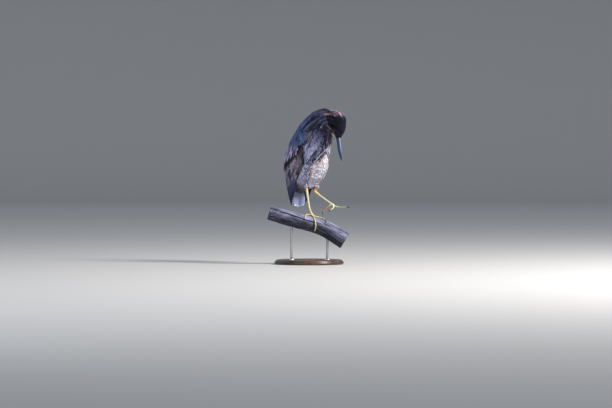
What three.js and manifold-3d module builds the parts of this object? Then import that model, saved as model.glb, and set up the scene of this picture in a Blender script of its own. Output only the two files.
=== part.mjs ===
// A life-size black-crowned night heron in its grey-brown immature plumage, as a still display model.
// It stands on its right leg on a short cut length of weathered branch, with the neck drawn in, the head
// bowed and the left foot lifted in mid step. Two rods carry the branch above a round base.
//
// Millimetres, +Z up. The bird faces +X and its left side is +Y. The origin is the middle of the base's
// underside. The bird is first worked out in its own frame, whose origin is level with the top of the
// branch under the standing foot, and the display group then lifts and centres it over the base.

import * as THREE from "three";
import { mergeVertices } from "three/addons/utils/BufferGeometryUtils.js";
import Module from "manifold-3d";

const wasm = await Module();
wasm.setup();

// ---------------------------------------------------------------------------------------------------
// Driving sizes
// ---------------------------------------------------------------------------------------------------

const GAP = 0.3; // the clearance kept between neighbouring solids
const SHELL_GAP = 0.6; // the same round the thin folded wings, whose faces bend
const SMOOTHING = 0.09; // how far a surface may move where needless corners are left out
const SIDES = { right: -1, left: 1 }; // the sign of Y on each side of the bird

const EYE_POINT = [113.8, 0, 287]; // the point midway between the eyes
const HEAD_BOW = 74.5; // degrees that the bill points below level
const BILL_TIP = 102.5; // from the eye point to the tip of the bill
const BILL_ROOT = 26; // from the eye point to the feather edge on the bill
const EYE_RADIUS = 8.5;
const EYE_PLACE = [-1.3, 14.6, 2.8]; // middle of the left eyeball from the eye point: forward, left, up

const WING_THICKNESS = 9; // scapulars, coverts and flight feathers together, at the middle of the wing
const QUILL_THICKNESS = 4; // the stacked primaries of a wing tip
const TAIL_THICKNESS = 4.5;
const TAIL_TIP = 30; // height of the tail's tip over the branch

const TARSUS_RADIUS = 3.2;
const TOE_RADIUS = 3;
const CLAW_RADIUS = 1.9;

const BRANCH_TURN = 45; // degrees from the bird's heading to the way the branch runs downhill
const BRANCH_MIDDLE = [12.7, -12.7]; // the branch's line under the standing foot, in the bird's X and Y
const BRANCH_START = -146; // upper cut end, measured along the branch from the standing foot
const BRANCH_END = 112; // lower cut end

const BRANCH_TOP = 164; // height of the branch under the foot above the floor
const BASE_RADIUS = 118;
const BASE_HEIGHT = 16;
const BASE_BEVEL = 2.5;
const BASE_OFFSET = [-8, -6]; // middle of the base in the bird's X and Y
const ROD_RADIUS = 4;
const ROD_DEPTH = 14; // how far a rod goes into the branch
const ROD_SOCKET = 9; // how far a rod goes into the base
const COLLAR_RADIUS = 11;
const COLLAR_HEIGHT = 4;
const ROD_PLACES = [-70, 52]; // along the branch

const degrees = THREE.MathUtils.degToRad;
const vector = (x, y, z) => new THREE.Vector3(x, y, z);

// ---------------------------------------------------------------------------------------------------
// Surfaces and solids
// ---------------------------------------------------------------------------------------------------

/** Rows of [place, value, value, ...] as a smooth function from place to the values. */
function table(rows) {
  const curve = new THREE.CubicInterpolant(
    rows.map((row) => row[0]),
    rows.flatMap((row) => row.slice(1)),
    rows[0].length - 1,
  );
  return (place) => [...curve.evaluate(place)];
}

/** count + 1 numbers from start to end, both included. */
const steps = (start, end, count) =>
  Array.from({ length: count + 1 }, (_, i) => start + ((end - start) * i) / count);

/** A closed geometry from shared points and triangles, turned to face outwards. */
function closed(points, triangles) {
  const [a, b, c] = [vector(), vector(), vector()];
  let volume = 0;
  for (let i = 0; i < triangles.length; i += 3) {
    a.copy(points[triangles[i]]);
    b.copy(points[triangles[i + 1]]);
    c.copy(points[triangles[i + 2]]);
    volume += a.dot(b.cross(c));
  }
  const facing = volume < 0 ? triangles.toReversed() : triangles;
  return new THREE.BufferGeometry().setFromPoints(points).setIndex(facing);
}

/** A closed body through rings with the same number of points. Each end closes on its own middle. */
function loft(rings) {
  const count = rings[0].length;
  const middle = (ring) => ring.reduce((sum, point) => sum.add(point), vector()).divideScalar(count);
  const points = [...rings.flat(), middle(rings[0]), middle(rings.at(-1))];
  const [headPole, tailPole, lastRing] = [points.length - 2, points.length - 1, points.length - 2 - count];
  const triangles = [];
  for (let k = 0; k < count; k++) {
    const next = (k + 1) % count;
    for (let start = 0; start < lastRing; start += count) {
      triangles.push(start + k, start + next, start + count + next);
      triangles.push(start + k, start + count + next, start + count + k);
    }
    triangles.push(headPole, next, k, tailPole, lastRing + k, lastRing + next);
  }
  return closed(points, triangles);
}

/** A closed slab between two grids of points. outer and inner give the point at shares u and v of the grid. */
function slab(columns, rows, outer, inner) {
  const points = [outer, inner].flatMap((surface) =>
    steps(0, 1, columns).flatMap((u) => steps(0, 1, rows).map((v) => surface(u, v))),
  );
  const [line, sheet] = [rows + 1, (columns + 1) * (rows + 1)];
  const triangles = [];
  const quad = (a, b, c, d) => triangles.push(a, b, c, a, c, d);
  for (let i = 0; i < columns; i++)
    for (let j = 0; j < rows; j++) {
      const corner = i * line + j;
      quad(corner, corner + line, corner + line + 1, corner + 1);
      quad(sheet + corner, sheet + corner + 1, sheet + corner + line + 1, sheet + corner + line);
    }
  for (let i = 0; i < columns; i++)
    for (const [edge, flip] of [[i * line, false], [i * line + rows, true]]) {
      const wall = [edge, edge + sheet, edge + sheet + line, edge + line];
      quad(...(flip ? wall.reverse() : wall));
    }
  for (let j = 0; j < rows; j++)
    for (const [edge, flip] of [[j, true], [columns * line + j, false]]) {
      const wall = [edge, edge + sheet, edge + sheet + 1, edge + 1];
      quad(...(flip ? wall.reverse() : wall));
    }
  return closed(points, triangles);
}

/** A ring of points round a middle. right and up are unit vectors, and it may be flatter below than above. */
function ring(middle, right, up, halfWidth, halfUp, halfDown, count) {
  return Array.from({ length: count }, (_, k) => {
    const angle = (2 * Math.PI * k) / count;
    const height = Math.sin(angle) * (Math.sin(angle) > 0 ? halfUp : halfDown);
    return middle.clone().addScaledVector(right, Math.cos(angle) * halfWidth).addScaledVector(up, height);
  });
}

/** A round tube along a curve, with a radius for each share of its length. Its ends are domed. */
function tube(curve, radiusAt, count, pieces, grow = 0) {
  const side = curve.getTangent(0.5).cross(vector(0.13, 0.27, 1)).normalize();
  const rings = steps(0, 1, pieces).map((share) => {
    const along = curve.getTangent(share);
    const up = side.clone().cross(along).normalize();
    const radius = radiusAt(share) + grow;
    return ring(curve.getPoint(share), along.clone().cross(up), up, radius, radius, radius, count);
  });
  const dome = (share, sign) => {
    const [middle, along] = [curve.getPoint(share), curve.getTangent(share)];
    const up = side.clone().cross(along).normalize();
    const radius = radiusAt(share) + grow;
    const out = middle.addScaledVector(along, sign * radius * 0.55);
    return ring(out, along.clone().cross(up), up, radius * 0.6, radius * 0.6, radius * 0.6, count);
  };
  return loft([dome(0, -1), ...rings, dome(1, 1)]);
}

/** A three.js geometry as a manifold-3d solid. */
function solid(geometry, matrix = new THREE.Matrix4()) {
  const bare = geometry.clone().applyMatrix4(matrix);
  bare.deleteAttribute("normal");
  bare.deleteAttribute("uv");
  const merged = mergeVertices(bare, 1e-4);
  const vertProperties = new Float32Array(merged.attributes.position.array);
  const triVerts = new Uint32Array(merged.index.array);
  return new wasm.Manifold(new wasm.Mesh({ numProp: 3, vertProperties, triVerts }));
}

/** A manifold-3d solid as a three.js geometry, with its crumbs and needless corners left out. */
function geometryOf(made) {
  const largest = made.decompose().reduce((best, piece) => (piece.volume() > best.volume() ? piece : best));
  const { numProp, vertProperties, triVerts } = largest.simplify(SMOOTHING).getMesh();
  const positions = new Float32Array((vertProperties.length / numProp) * 3);
  for (let i = 0; i < positions.length / 3; i++)
    positions.set(vertProperties.subarray(i * numProp, i * numProp + 3), i * 3);
  const geometry = new THREE.BufferGeometry().setAttribute("position", new THREE.BufferAttribute(positions, 3));
  geometry.setIndex(new THREE.BufferAttribute(new Uint32Array(triVerts), 1));
  geometry.computeVertexNormals();
  return geometry;
}

/** What is left of a solid once others are cut away. */
const without = (made, ...others) => others.reduce((left, other) => left.subtract(other), made);

/** The half space on one side of a plane, as a box wide enough for the bird: all within reach along normal. */
function beyond(point, normal) {
  const reach = 400;
  const box = new THREE.BoxGeometry(reach, reach, reach).translate(0, 0, reach / 2);
  const turn = new THREE.Quaternion().setFromUnitVectors(vector(0, 0, 1), normal.clone().normalize());
  return solid(box, new THREE.Matrix4().compose(point, turn, vector(1, 1, 1)));
}

// ---------------------------------------------------------------------------------------------------
// Materials
// ---------------------------------------------------------------------------------------------------

const finish = (color, roughness, metalness = 0) =>
  new THREE.MeshStandardMaterial({ color, roughness, metalness });
const MATERIALS = {
  cap: finish(0x23222b, 0.7),
  neck: finish(0x6f6a70, 0.8),
  body: finish(0xa9a6ad, 0.8),
  wing: finish(0x56505a, 0.7),
  quill: finish(0x343744, 0.6),
  tail: finish(0x7f8796, 0.7),
  bill: finish(0x1f3550, 0.35),
  billBase: finish(0x6f8a72, 0.4),
  eye: finish(0x7a1712, 0.1),
  leg: finish(0xc9b45c, 0.5),
  claw: finish(0x2b2724, 0.4),
  branch: finish(0x7d7c8a, 0.9),
  base: finish(0x2a2522, 0.4),
  rod: finish(0x8d8f94, 0.3, 1),
};

/** A named mesh for one sub-part. */
function node(name, geometry, material) {
  const mesh = new THREE.Mesh(geometry, MATERIALS[material]);
  mesh.name = name;
  return mesh;
}

// ---------------------------------------------------------------------------------------------------
// Trunk: level sections of the feathered body
// ---------------------------------------------------------------------------------------------------

// height, back, front and half width of the body with its folded wings
const outline = table([
  [24, -86, -60, 25],
  [54, -89, -38, 40],
  [88, -99, -18, 50],
  [116, -104, 26, 58],
  [139, -108, 42, 63],
  [166, -111, 56, 66],
  [197, -106, 62, 67],
  [235, -91, 70, 64],
  [265, -74, 76, 60],
  [290, -57, 79, 56],
  [311, -40, 80, 50],
  [330, -17, 82, 41],
  [343, 2, 78, 29],
  [351, 18, 68, 14],
]);

// the same for the belly and vent, which end above the wing tips
const belly = table([
  [74, -66, -50, 6],
  [84, -84, -36, 22],
  [94, -94, -18, 36],
  [104, -100, 2, 47],
  [114, -103, 20, 56],
  [126, -105, 33, 60.5],
]);
const BELLY_TOP = 126;
const BODY_BOTTOM = 76;
const BODY_TOP = 350;

/** A point on the feathered outline. angle is 0 at the front and 180 at the back, and inset goes inwards. */
function onBody(sections, height, angle, inset) {
  const [back, front, halfWidth] = sections(height);
  const [middle, depth] = [(back + front) / 2, (front - back) / 2];
  const [cos, sin] = [Math.cos(degrees(angle)), Math.sin(degrees(angle))];
  return vector(middle + (depth - inset) * cos, (halfWidth - inset) * sin, height);
}

function trunkForm(grow = 0) {
  const count = 22;
  const sections = (height) => (height < BELLY_TOP ? belly : outline)(height);
  const heights = [BODY_BOTTOM, 81, 90, 105, ...steps(BELLY_TOP, 308, 6), 326, 340, BODY_TOP];
  const ringAt = (height) =>
    Array.from({ length: count }, (_, k) => {
      const point = onBody(sections, height, (360 * k) / count, -grow);
      return point.setZ(height === BODY_BOTTOM ? height - grow : height);
    });
  return loft(heights.map(ringAt));
}

// ---------------------------------------------------------------------------------------------------
// Neck and head
// ---------------------------------------------------------------------------------------------------

// The neck is drawn in: it rises from the shoulders, arches over and comes down into the nape.
// place along the arch, X, Z, half depth, half width
const neckSections = table([
  [0, -16, 228, 54, 54],
  [1, -4, 268, 56, 53],
  [2, 14, 298, 46, 47],
  [3, 44, 319, 45, 43],
  [4, 78, 322, 42, 38],
  [5, 106, 308, 34, 26],
]);

function neckForm(grow = 0) {
  const rings = steps(0, 5, 7).map((place) => {
    const [x, z, halfDepth, halfWidth] = neckSections(place);
    const [beforeX, beforeZ] = neckSections(Math.max(0, place - 0.1));
    const [afterX, afterZ] = neckSections(Math.min(5, place + 0.1));
    const along = vector(afterX - beforeX, 0, afterZ - beforeZ).normalize();
    const up = vector(-along.z, 0, along.x);
    const [wide, tall] = [halfWidth + grow, halfDepth + grow];
    return ring(vector(x, 0, z), vector(0, 1, 0), up, wide, tall, tall, 18);
  });
  return loft(rings);
}

// In the head's own frame +X runs along the bill, +Y is left and +Z is towards the crown.
const headPlace = new THREE.Object3D();
headPlace.position.set(...EYE_POINT);
headPlace.rotation.y = degrees(HEAD_BOW);
headPlace.updateMatrix();

// place from the eye point towards the bill, crown height, chin depth, half width
const headSections = table([
  [-66, 20, 14, 16],
  [-60, 32, 22, 24],
  [-50, 42, 26, 29],
  [-36, 46, 28, 31],
  [-22, 45, 27, 29],
  [-8, 41, 24, 24.5],
  [0, 38, 21.5, 21],
  [8, 34, 19, 18.6],
  [16, 28, 16, 15.6],
  [22, 21, 13, 12.4],
  [28, 13.5, 10.5, 9],
]);

function headForm(grow = 0) {
  const places = [-68, -63, -52, -37, -20, -5, 8, 18, 24, 28.5];
  const rings = places.map((place) => {
    const [crown, chin, halfWidth] = headSections(Math.max(-66, Math.min(28, place)));
    const middle = (crown - chin) / 2;
    const half = (crown + chin) / 2 + grow;
    const shrink = place < -66 || place > 28 ? 0.7 : 1;
    const [wide, tall] = [(halfWidth + grow) * shrink, half * shrink];
    return ring(vector(place, 0, middle), vector(0, 1, 0), vector(0, 0, 1), wide, tall, tall, 18);
  });
  return loft(rings);
}

// Bill: place, culmen height, height of the cutting edge, depth of the lower edge, half width
const billSections = table([
  [14, 13, 0.4, -9.2, 8.6],
  [BILL_ROOT, 12, 0.2, -9.2, 7.9],
  [42, 9.6, -0.3, -8.2, 6.4],
  [60, 7.2, -0.7, -6.6, 4.8],
  [80, 4.4, -1, -4.6, 3.1],
  [94, 1.9, -1.3, -2.9, 1.7],
  [BILL_TIP, -0.9, -1.9, -2.2, 0.5],
]);

function mandible(isUpper) {
  const last = isUpper ? BILL_TIP : BILL_TIP - 6;
  const places = [...steps(16, last - 6, 9), last - 2, last];
  const rings = places.map((place) => {
    const [culmen, edge, lower, halfWidth] = billSections(place);
    const bulge = 0.1; // how far the cutting edges round over
    const seam = edge + (isUpper ? 1 : -1) * (GAP / 2 + bulge);
    const [above, below] = isUpper ? [culmen - seam, bulge] : [bulge, Math.max(0.4, seam - lower)];
    return ring(vector(place, 0, seam), vector(0, 1, 0), vector(0, 0, 1), halfWidth, above, below, 12);
  });
  return loft(rings);
}

// ---------------------------------------------------------------------------------------------------
// Folded wings: shells that follow the outline
// ---------------------------------------------------------------------------------------------------

// height, and the angles round the body of the wing's front and back edges
const wingEdges = table([
  [22, 84, 118],
  [40, 70, 136],
  [56, 64, 146],
  [90, 56, 156],
  [122, 61, 166],
  [173, 62, 174],
  [215, 70, 176],
  [245, 81, 176],
  [300, 98, 174],
]);

/** A shell between two depths under the outline. u runs from its front edge to its back, v from top to tip. */
function wingShell(side, columns, rows, heightAt, outerInset, innerInset, grow) {
  const surface = (insetAt) => (u, v) => {
    const height = heightAt(u, v);
    const [front, back] = wingEdges(height);
    const margin = grow ? 0.5 : 0;
    const angle = front - margin + (back - front + 2 * margin) * u;
    return onBody(outline, height, side * angle, insetAt(u, v));
  };
  const clearance = grow * 15; // a cutting shell also clears whatever lies over it
  const outer = surface((u, v) => outerInset(u, v) - clearance);
  const inner = surface((u, v) => innerInset(u, v) + grow);
  return slab(columns, rows, outer, inner);
}

const FEATHERS_SHOWN = 4; // the stepped tips along the lower edge of the wing and of the wing tip

/** How full a shell is at a share of its width: nothing at the edges and one in the middle. */
const fullness = (share) => Math.sqrt(Math.max(0, 1 - (2 * share - 1) ** 4));

/** The stepped lower edge left by feather tips. */
const stepped = (share, depth) => depth * Math.abs(Math.sin(Math.PI * share * FEATHERS_SHOWN));

function wingForm(side, grow = 0) {
  const top = (u) => 296 - 46 * (2 * u - 1) ** 2;
  const bottom = (u) => 118 - 34 * u - stepped(u, 5);
  const heightAt = (u, v) => top(u) + grow + (bottom(u) - top(u) - 2 * grow) * v;
  const edge = 1.4;
  const taper = (v) => Math.min(1, 0.3 + 3 * v) * (1 - 0.75 * v ** 3);
  const thickness = (u, v) => edge + (WING_THICKNESS - edge) * fullness(u) * taper(v);
  return wingShell(side, 8, 8, heightAt, () => 0, thickness, grow);
}

function wingTipForm(side, grow = 0) {
  const bottom = (u) => 36 + 74 * Math.abs(u - 0.3) ** 1.3 - stepped(u, 4);
  const heightAt = (u, v) => 128 + grow + (bottom(u) - 128 - 2 * grow) * v;
  const outer = (u, v) => 1.6 - 1.2 * v;
  const inner = (u, v) => outer(u, v) + 1.2 + (QUILL_THICKNESS - 1.2) * fullness(u);
  return wingShell(side, 8, 5, heightAt, outer, inner, grow);
}

// ---------------------------------------------------------------------------------------------------
// Tail: twelve stacked feathers, closed to a slightly arched paddle
// ---------------------------------------------------------------------------------------------------

// height, half width, X of the upper side
const tailSections = table([
  [20, 28, -67],
  [40, 29, -66],
  [75, 25, -63],
  [110, 17, -60],
  [132, 12, -60],
]);

function tailForm(grow = 0) {
  const surface = (depth) => (u, v) => {
    const across = 2 * u - 1;
    const bottom = TAIL_TIP + 7 * across ** 2 - 2.5 * Math.abs(Math.sin(Math.PI * u * 6));
    const height = 130 + grow + (bottom - 130 - 2 * grow) * v;
    const [halfWidth, back] = tailSections(height);
    const arch = 3.5 * across ** 2;
    return vector(back + arch + depth, across * (halfWidth + grow), height);
  };
  return slab(12, 4, surface(-grow), surface(TAIL_THICKNESS + grow));
}

// ---------------------------------------------------------------------------------------------------
// Branch
// ---------------------------------------------------------------------------------------------------

// The branch's own frame has +X along it, downhill, and its origin on top of it under the standing foot.
const branchPlace = new THREE.Object3D();
branchPlace.position.set(...BRANCH_MIDDLE, 0);
branchPlace.rotation.z = degrees(BRANCH_TURN);
branchPlace.updateMatrix();

// place along the branch, height of its middle line and radius
const branchSections = table([
  [-160, 15.5, 22],
  [-145, 11, 23],
  [-87, -5.5, 25],
  [-40, -17.5, 25.6],
  [3, -28.8, 26],
  [42, -42.6, 27.2],
  [92, -71, 29.5],
  [125, -91, 31],
]);

/** How far the branch falls per millimetre along it. */
const branchFall = (along) => branchSections(along - 1)[0] / 2 - branchSections(along + 1)[0] / 2;

/** A point at a height over the bark. around is 90 on top, 180 on the bird's right and 0 on its left. */
function onBranch(along, around, lift, isLevel = true) {
  const up = vector(branchFall(along), 0, 1).normalize();
  const [high, reach] = [Math.sin(degrees(around)), branchSections(along)[1] + lift];
  const start = isLevel ? along - high * reach * up.x : along;
  const across = Math.cos(degrees(around)) * reach;
  return vector(start, across, branchSections(start)[0]).addScaledVector(up, high * reach);
}

function branchForm(grow = 0) {
  const [count, edge] = [18, 2.5];
  const [start, end] = [BRANCH_START, BRANCH_END];
  const places = [start, start + edge, ...steps(start + 20, end - 20, 9), end - edge, end];
  return loft(
    places.map((along) => {
      const lift = grow - (along === start || along === end ? edge : 0);
      return Array.from({ length: count }, (_, k) => onBranch(along, (360 * k) / count, lift, false));
    }),
  );
}

// ---------------------------------------------------------------------------------------------------
// Legs and feet
// ---------------------------------------------------------------------------------------------------

const curveThrough = (...points) => new THREE.CatmullRomCurve3(points, false, "centripetal");

/** A point in the branch's frame, in the bird's frame. */
const fromBranch = (point) => point.applyMatrix4(branchPlace.matrix);

const STANDING_FOOT = fromBranch(onBranch(-0.5, 96, 6.2));
const LIFTED_FOOT = vector(62, 38, 37.5);

const LEGS = {
  right: {
    thigh: curveThrough(vector(-26, -30, 160), vector(-12, -27, 120), vector(-2.5, -24.3, 95)),
    tibia: curveThrough(vector(-6, -25.6, 106), vector(-2.4, -24.4, 95), vector(-1, -24, 86)),
    tarsus: [vector(-1, -24, 86), vector(4, -20.6, 45), vector(8, -19, 24)],
    foot: STANDING_FOOT,
  },
  left: {
    thigh: curveThrough(vector(-20, 30, 160), vector(5, 27, 134), vector(5, 23, 111)),
    tibia: curveThrough(vector(4.6, 23.8, 118), vector(2.6, 21.6, 105), vector(-7, 18.5, 84)),
    tarsus: [vector(-7, 18.5, 84), vector(28, 29.5, 59.5)],
    foot: LIFTED_FOOT,
  },
};

const thighRadius = table([
  [0, 26],
  [0.5, 18],
  [0.8, 10.5],
  [1, 6.5],
]);
const tibiaRadius = table([
  [0, 3.6],
  [0.5, 3.7],
  [0.85, 4.8],
  [1, 5],
]);
const tarsusRadius = table([
  [0, 5],
  [0.08, 4.6],
  [0.2, TARSUS_RADIUS + 0.3],
  [0.5, TARSUS_RADIUS],
  [0.85, TARSUS_RADIUS + 0.4],
  [1, 5],
]);

/** Points a toe's radius above the bark, from places along the branch and angles round it. */
const overBark = (lift, ...places) =>
  places.map(([along, around]) => fromBranch(onBranch(along, around, lift)));
const SOLE = TOE_RADIUS + GAP;
const CLAW_LIFT = 1.6;

/** Toe paths from the middle of the foot outwards. */
const TOES = {
  right: {
    hind: overBark(SOLE, [-5, 80], [-12, 58], [-16, 36]),
    inner: overBark(SOLE, [10, 96], [25, 94], [38.5, 96], [45, 112]),
    middle: overBark(SOLE, [6, 118], [11, 153], [12.5, 186], [8.5, 219]),
    outer: overBark(SOLE, [-8, 98], [-17, 103], [-22.5, 128], [-24.5, 150]),
  },
  left: {
    hind: [vector(54, 32, 37), vector(46, 28.5, 31), vector(37, 25, 23), vector(30, 23, 15.5)],
    inner: [vector(70, 33, 32.5), vector(77, 25, 28.5), vector(78, 18, 25), vector(74, 14, 21)],
    middle: [vector(74, 39, 33), vector(92, 39.5, 30), vector(109, 40.5, 30.5), vector(124, 41, 32)],
    outer: [vector(70, 44.5, 33), vector(82, 51, 30), vector(93, 57, 30), vector(102, 62, 31)],
  },
};

const CLAW_TIPS = {
  right: {
    hind: overBark(CLAW_LIFT, [-18, 8])[0],
    inner: overBark(CLAW_LIFT, [46, 140])[0],
    middle: overBark(CLAW_LIFT, [7, 250])[0],
    outer: overBark(CLAW_LIFT, [-26, 176])[0],
  },
  left: {
    hind: vector(31, 23, 3),
    inner: vector(66, 11.5, 16),
    middle: vector(137, 41.5, 31),
    outer: vector(112, 67, 29),
  },
};

/** A toe, fuller at its joints. */
function toeForm(foot, points, grow = 0) {
  const start = foot.clone().lerp(points[0], 0.4);
  const curve = curveThrough(start, ...points);
  const joints = points.length;
  const swelling = (share) => 0.94 + 0.1 * Math.cos(2 * Math.PI * joints * share);
  const radiusAt = (share) => (TOE_RADIUS - 0.7 * share) * swelling(share);
  return tube(curve, radiusAt, 6, joints + 3, grow);
}

/** A curved claw that goes on from a toe's end. */
function clawForm(points, tip) {
  const end = points.at(-1);
  const along = end.clone().sub(points.at(-2)).normalize();
  const start = end.clone().addScaledVector(along, 1.4);
  const bend = start.clone().addScaledVector(along, start.distanceTo(tip) * 0.5);
  const curve = new THREE.QuadraticBezierCurve3(start, bend, tip);
  return tube(curve, (share) => CLAW_RADIUS * (1 - 0.82 * share), 5, 3);
}

/** The solids of one leg, each cleared of those before it. */
function legForms(side, bark, body) {
  const { thigh, tibia, tarsus, foot } = LEGS[side];
  const pad = (grow) => solid(new THREE.SphereGeometry(5.4 + grow, 9, 6).scale(1, 1, 0.85).translate(...foot));
  const shin = curveThrough(...tarsus, foot);
  const tarsusTube = (grow) => solid(tube(shin, (share) => tarsusRadius(share)[0], 8, 8, grow));
  const forms = {};
  forms[`tarsus_${side}`] = without(tarsusTube(0), pad(GAP));
  const tibiaTube = (grow) => solid(tube(tibia, (share) => tibiaRadius(share)[0], 8, 4, grow));
  forms[`tibia_${side}`] = without(tibiaTube(0), tarsusTube(GAP), body);
  const thighTube = solid(tube(thigh, (share) => thighRadius(share)[0], 12, 6));
  forms[`thigh_${side}`] = without(thighTube, body, tibiaTube(GAP), tarsusTube(GAP));
  forms[`foot_${side}`] = without(pad(0), bark);
  let taken = pad(GAP).add(tarsusTube(GAP)).add(bark);
  for (const [toe, points] of Object.entries(TOES[side])) {
    forms[`toe_${toe}_${side}`] = without(solid(toeForm(foot, points)), taken);
    taken = taken.add(solid(toeForm(foot, points, GAP)));
  }
  for (const [toe, points] of Object.entries(TOES[side]))
    forms[`claw_${toe}_${side}`] = without(solid(clawForm(points, CLAW_TIPS[side][toe])), taken);
  return forms;
}

// ---------------------------------------------------------------------------------------------------
// Stand
// ---------------------------------------------------------------------------------------------------

/** A turned disc with eased edges, from its underside up. */
function disc(radius, height, bevel, count) {
  const shape = new THREE.Shape().absarc(0, 0, radius - bevel, 0, 2 * Math.PI);
  const edge = { bevelSize: bevel, bevelThickness: bevel, bevelSegments: 1 };
  const options = { depth: height - 2 * bevel, curveSegments: count, ...edge };
  return new THREE.ExtrudeGeometry(shape, options).translate(0, 0, bevel);
}

/** An upright cylinder between two heights. */
function upright(x, y, radius, low, high, count) {
  const cylinder = new THREE.CylinderGeometry(radius, radius, high - low, count).rotateX(Math.PI / 2);
  return solid(cylinder.translate(x, y, (low + high) / 2));
}

/** The stand's own solids, in the display's frame, and the holes they need. */
function standForms() {
  const rods = ROD_PLACES.map((along) => {
    const [middle, radius] = branchSections(along);
    const place = fromBranch(vector(along, 0, middle)).add(bird.position);
    const under = place.z - radius * Math.hypot(1, branchFall(along));
    return { x: place.x, y: place.y, top: under + ROD_DEPTH };
  });
  const foot = BASE_HEIGHT - ROD_SOCKET;
  const rod = ({ x, y, top }, grow) => upright(x, y, ROD_RADIUS + grow, foot - grow, top + grow, 12);
  const collar = ({ x, y }) => upright(x, y, COLLAR_RADIUS, foot, BASE_HEIGHT + COLLAR_HEIGHT, 14);
  const round = solid(disc(BASE_RADIUS, BASE_HEIGHT, BASE_BEVEL, 20));
  const plate = rods.reduce((sum, place) => sum.add(collar(place)), round);
  return {
    base: without(plate, ...rods.map((place) => rod(place, GAP))),
    rods: rods.map((place) => rod(place, 0)),
    holes: rods.map((place) => rod(place, GAP).translate(-bird.position.x, -bird.position.y, -bird.position.z)),
  };
}

// ---------------------------------------------------------------------------------------------------
// The bird
// ---------------------------------------------------------------------------------------------------

const bird = new THREE.Group();
bird.position.set(-BASE_OFFSET[0], -BASE_OFFSET[1], BRANCH_TOP);

const tail = solid(tailForm());
const bark = solid(branchForm(GAP), branchPlace.matrix);
const body = solid(trunkForm(GAP));
const legs = Object.fromEntries(Object.keys(SIDES).map((side) => [side, legForms(side, bark, body)]));
const wings = {};
const primaries = {};
for (const [side, sign] of Object.entries(SIDES)) {
  wings[side] = solid(wingForm(sign));
  primaries[side] = without(solid(wingTipForm(sign)), solid(wingForm(sign, SHELL_GAP)), solid(tailForm(GAP)));
}

// The flesh is modelled whole, cleared where the wings and tail lie on it, and parted with thin cuts.
const flesh = without(
  solid(trunkForm()).add(solid(neckForm())).add(solid(headForm(), headPlace.matrix)),
  ...Object.values(SIDES).map((sign) => solid(wingForm(sign, SHELL_GAP))),
  ...Object.values(SIDES).map((sign) => solid(wingTipForm(sign, SHELL_GAP))),
  solid(tailForm(GAP)),
);

const NAPE_CUT = { point: vector(84, 0, 318), normal: vector(1, 0, -0.3) };
const SHOULDER_CUT = { point: vector(20, 0, 252), normal: vector(0.12, 0, 1) };

/** The half space beyond a cut, moved along its normal. */
function past({ point, normal }, shift) {
  return beyond(point.clone().addScaledVector(normal.clone().normalize(), shift), normal);
}

const eyeball = (sign, grow = 0) => {
  const ball = new THREE.SphereGeometry(EYE_RADIUS + grow, 12, 8).rotateX(Math.PI / 2);
  return ball.translate(EYE_PLACE[0], sign * EYE_PLACE[1], EYE_PLACE[2]);
};

/** The head, with the end of the neck that it sits on. */
const headSolid = (grow) =>
  solid(headForm(grow), headPlace.matrix).add(solid(neckForm(grow)).intersect(past(NAPE_CUT, -grow)));

const eyeSockets = Object.values(SIDES).map((sign) => solid(eyeball(sign, GAP), headPlace.matrix));
const trunk = flesh.subtract(past(SHOULDER_CUT, -GAP / 2));
const neck = flesh.intersect(past(SHOULDER_CUT, GAP / 2)).subtract(headSolid(GAP));
bird.add(node("head", geometryOf(without(headSolid(0), ...eyeSockets)), "cap"));
bird.add(node("neck", geometryOf(neck), "neck"));
bird.add(node("trunk", geometryOf(trunk), "body"));
bird.add(node("tail", geometryOf(tail), "tail"));

const headGroup = new THREE.Group();
headGroup.position.copy(headPlace.position);
headGroup.rotation.copy(headPlace.rotation);
const headShell = solid(headForm(GAP));
headGroup.add(node("bill_upper", geometryOf(without(solid(mandible(true)), headShell)), "bill"));
headGroup.add(node("bill_lower", geometryOf(without(solid(mandible(false)), headShell)), "billBase"));
for (const [side, sign] of Object.entries(SIDES)) headGroup.add(node(`eye_${side}`, eyeball(sign), "eye"));
bird.add(headGroup);

const legMaterial = (name) => (name.startsWith("thigh") ? "body" : name.startsWith("claw") ? "claw" : "leg");
for (const side of Object.keys(SIDES)) {
  bird.add(node(`wing_${side}`, geometryOf(wings[side]), "wing"));
  bird.add(node(`primaries_${side}`, geometryOf(primaries[side]), "quill"));
  for (const [name, made] of Object.entries(legs[side]))
    bird.add(node(name, geometryOf(made), legMaterial(name)));
}

const stand = standForms();
bird.add(node("perch", geometryOf(without(solid(branchForm(), branchPlace.matrix), ...stand.holes)), "branch"));

const display = new THREE.Group();
display.add(bird);
display.add(node("stand_base", geometryOf(stand.base), "base"));
stand.rods.forEach((rod, i) => display.add(node(`stand_rod_${i + 1}`, geometryOf(rod), "rod")));

export default display;
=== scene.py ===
# %% [markdown]
# # A young night heron, life size
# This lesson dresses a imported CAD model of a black-crowned night heron in its grey-brown young plumage. The
# bird stands on one leg on a cut length of weathered branch, held by a small display stand. The CAD model
# gives every place and size, in metres, with +Z up and the bird facing +X. The lesson adds one skin, a coat
# of solid feathers, the bill, eyes and claws, the bark of the branch and the finish of the stand.

# %% Load the frame
import contextlib
import math

import bmesh
import bpy
import numpy as np
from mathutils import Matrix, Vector, kdtree
from mathutils.bvhtree import BVHTree


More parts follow.
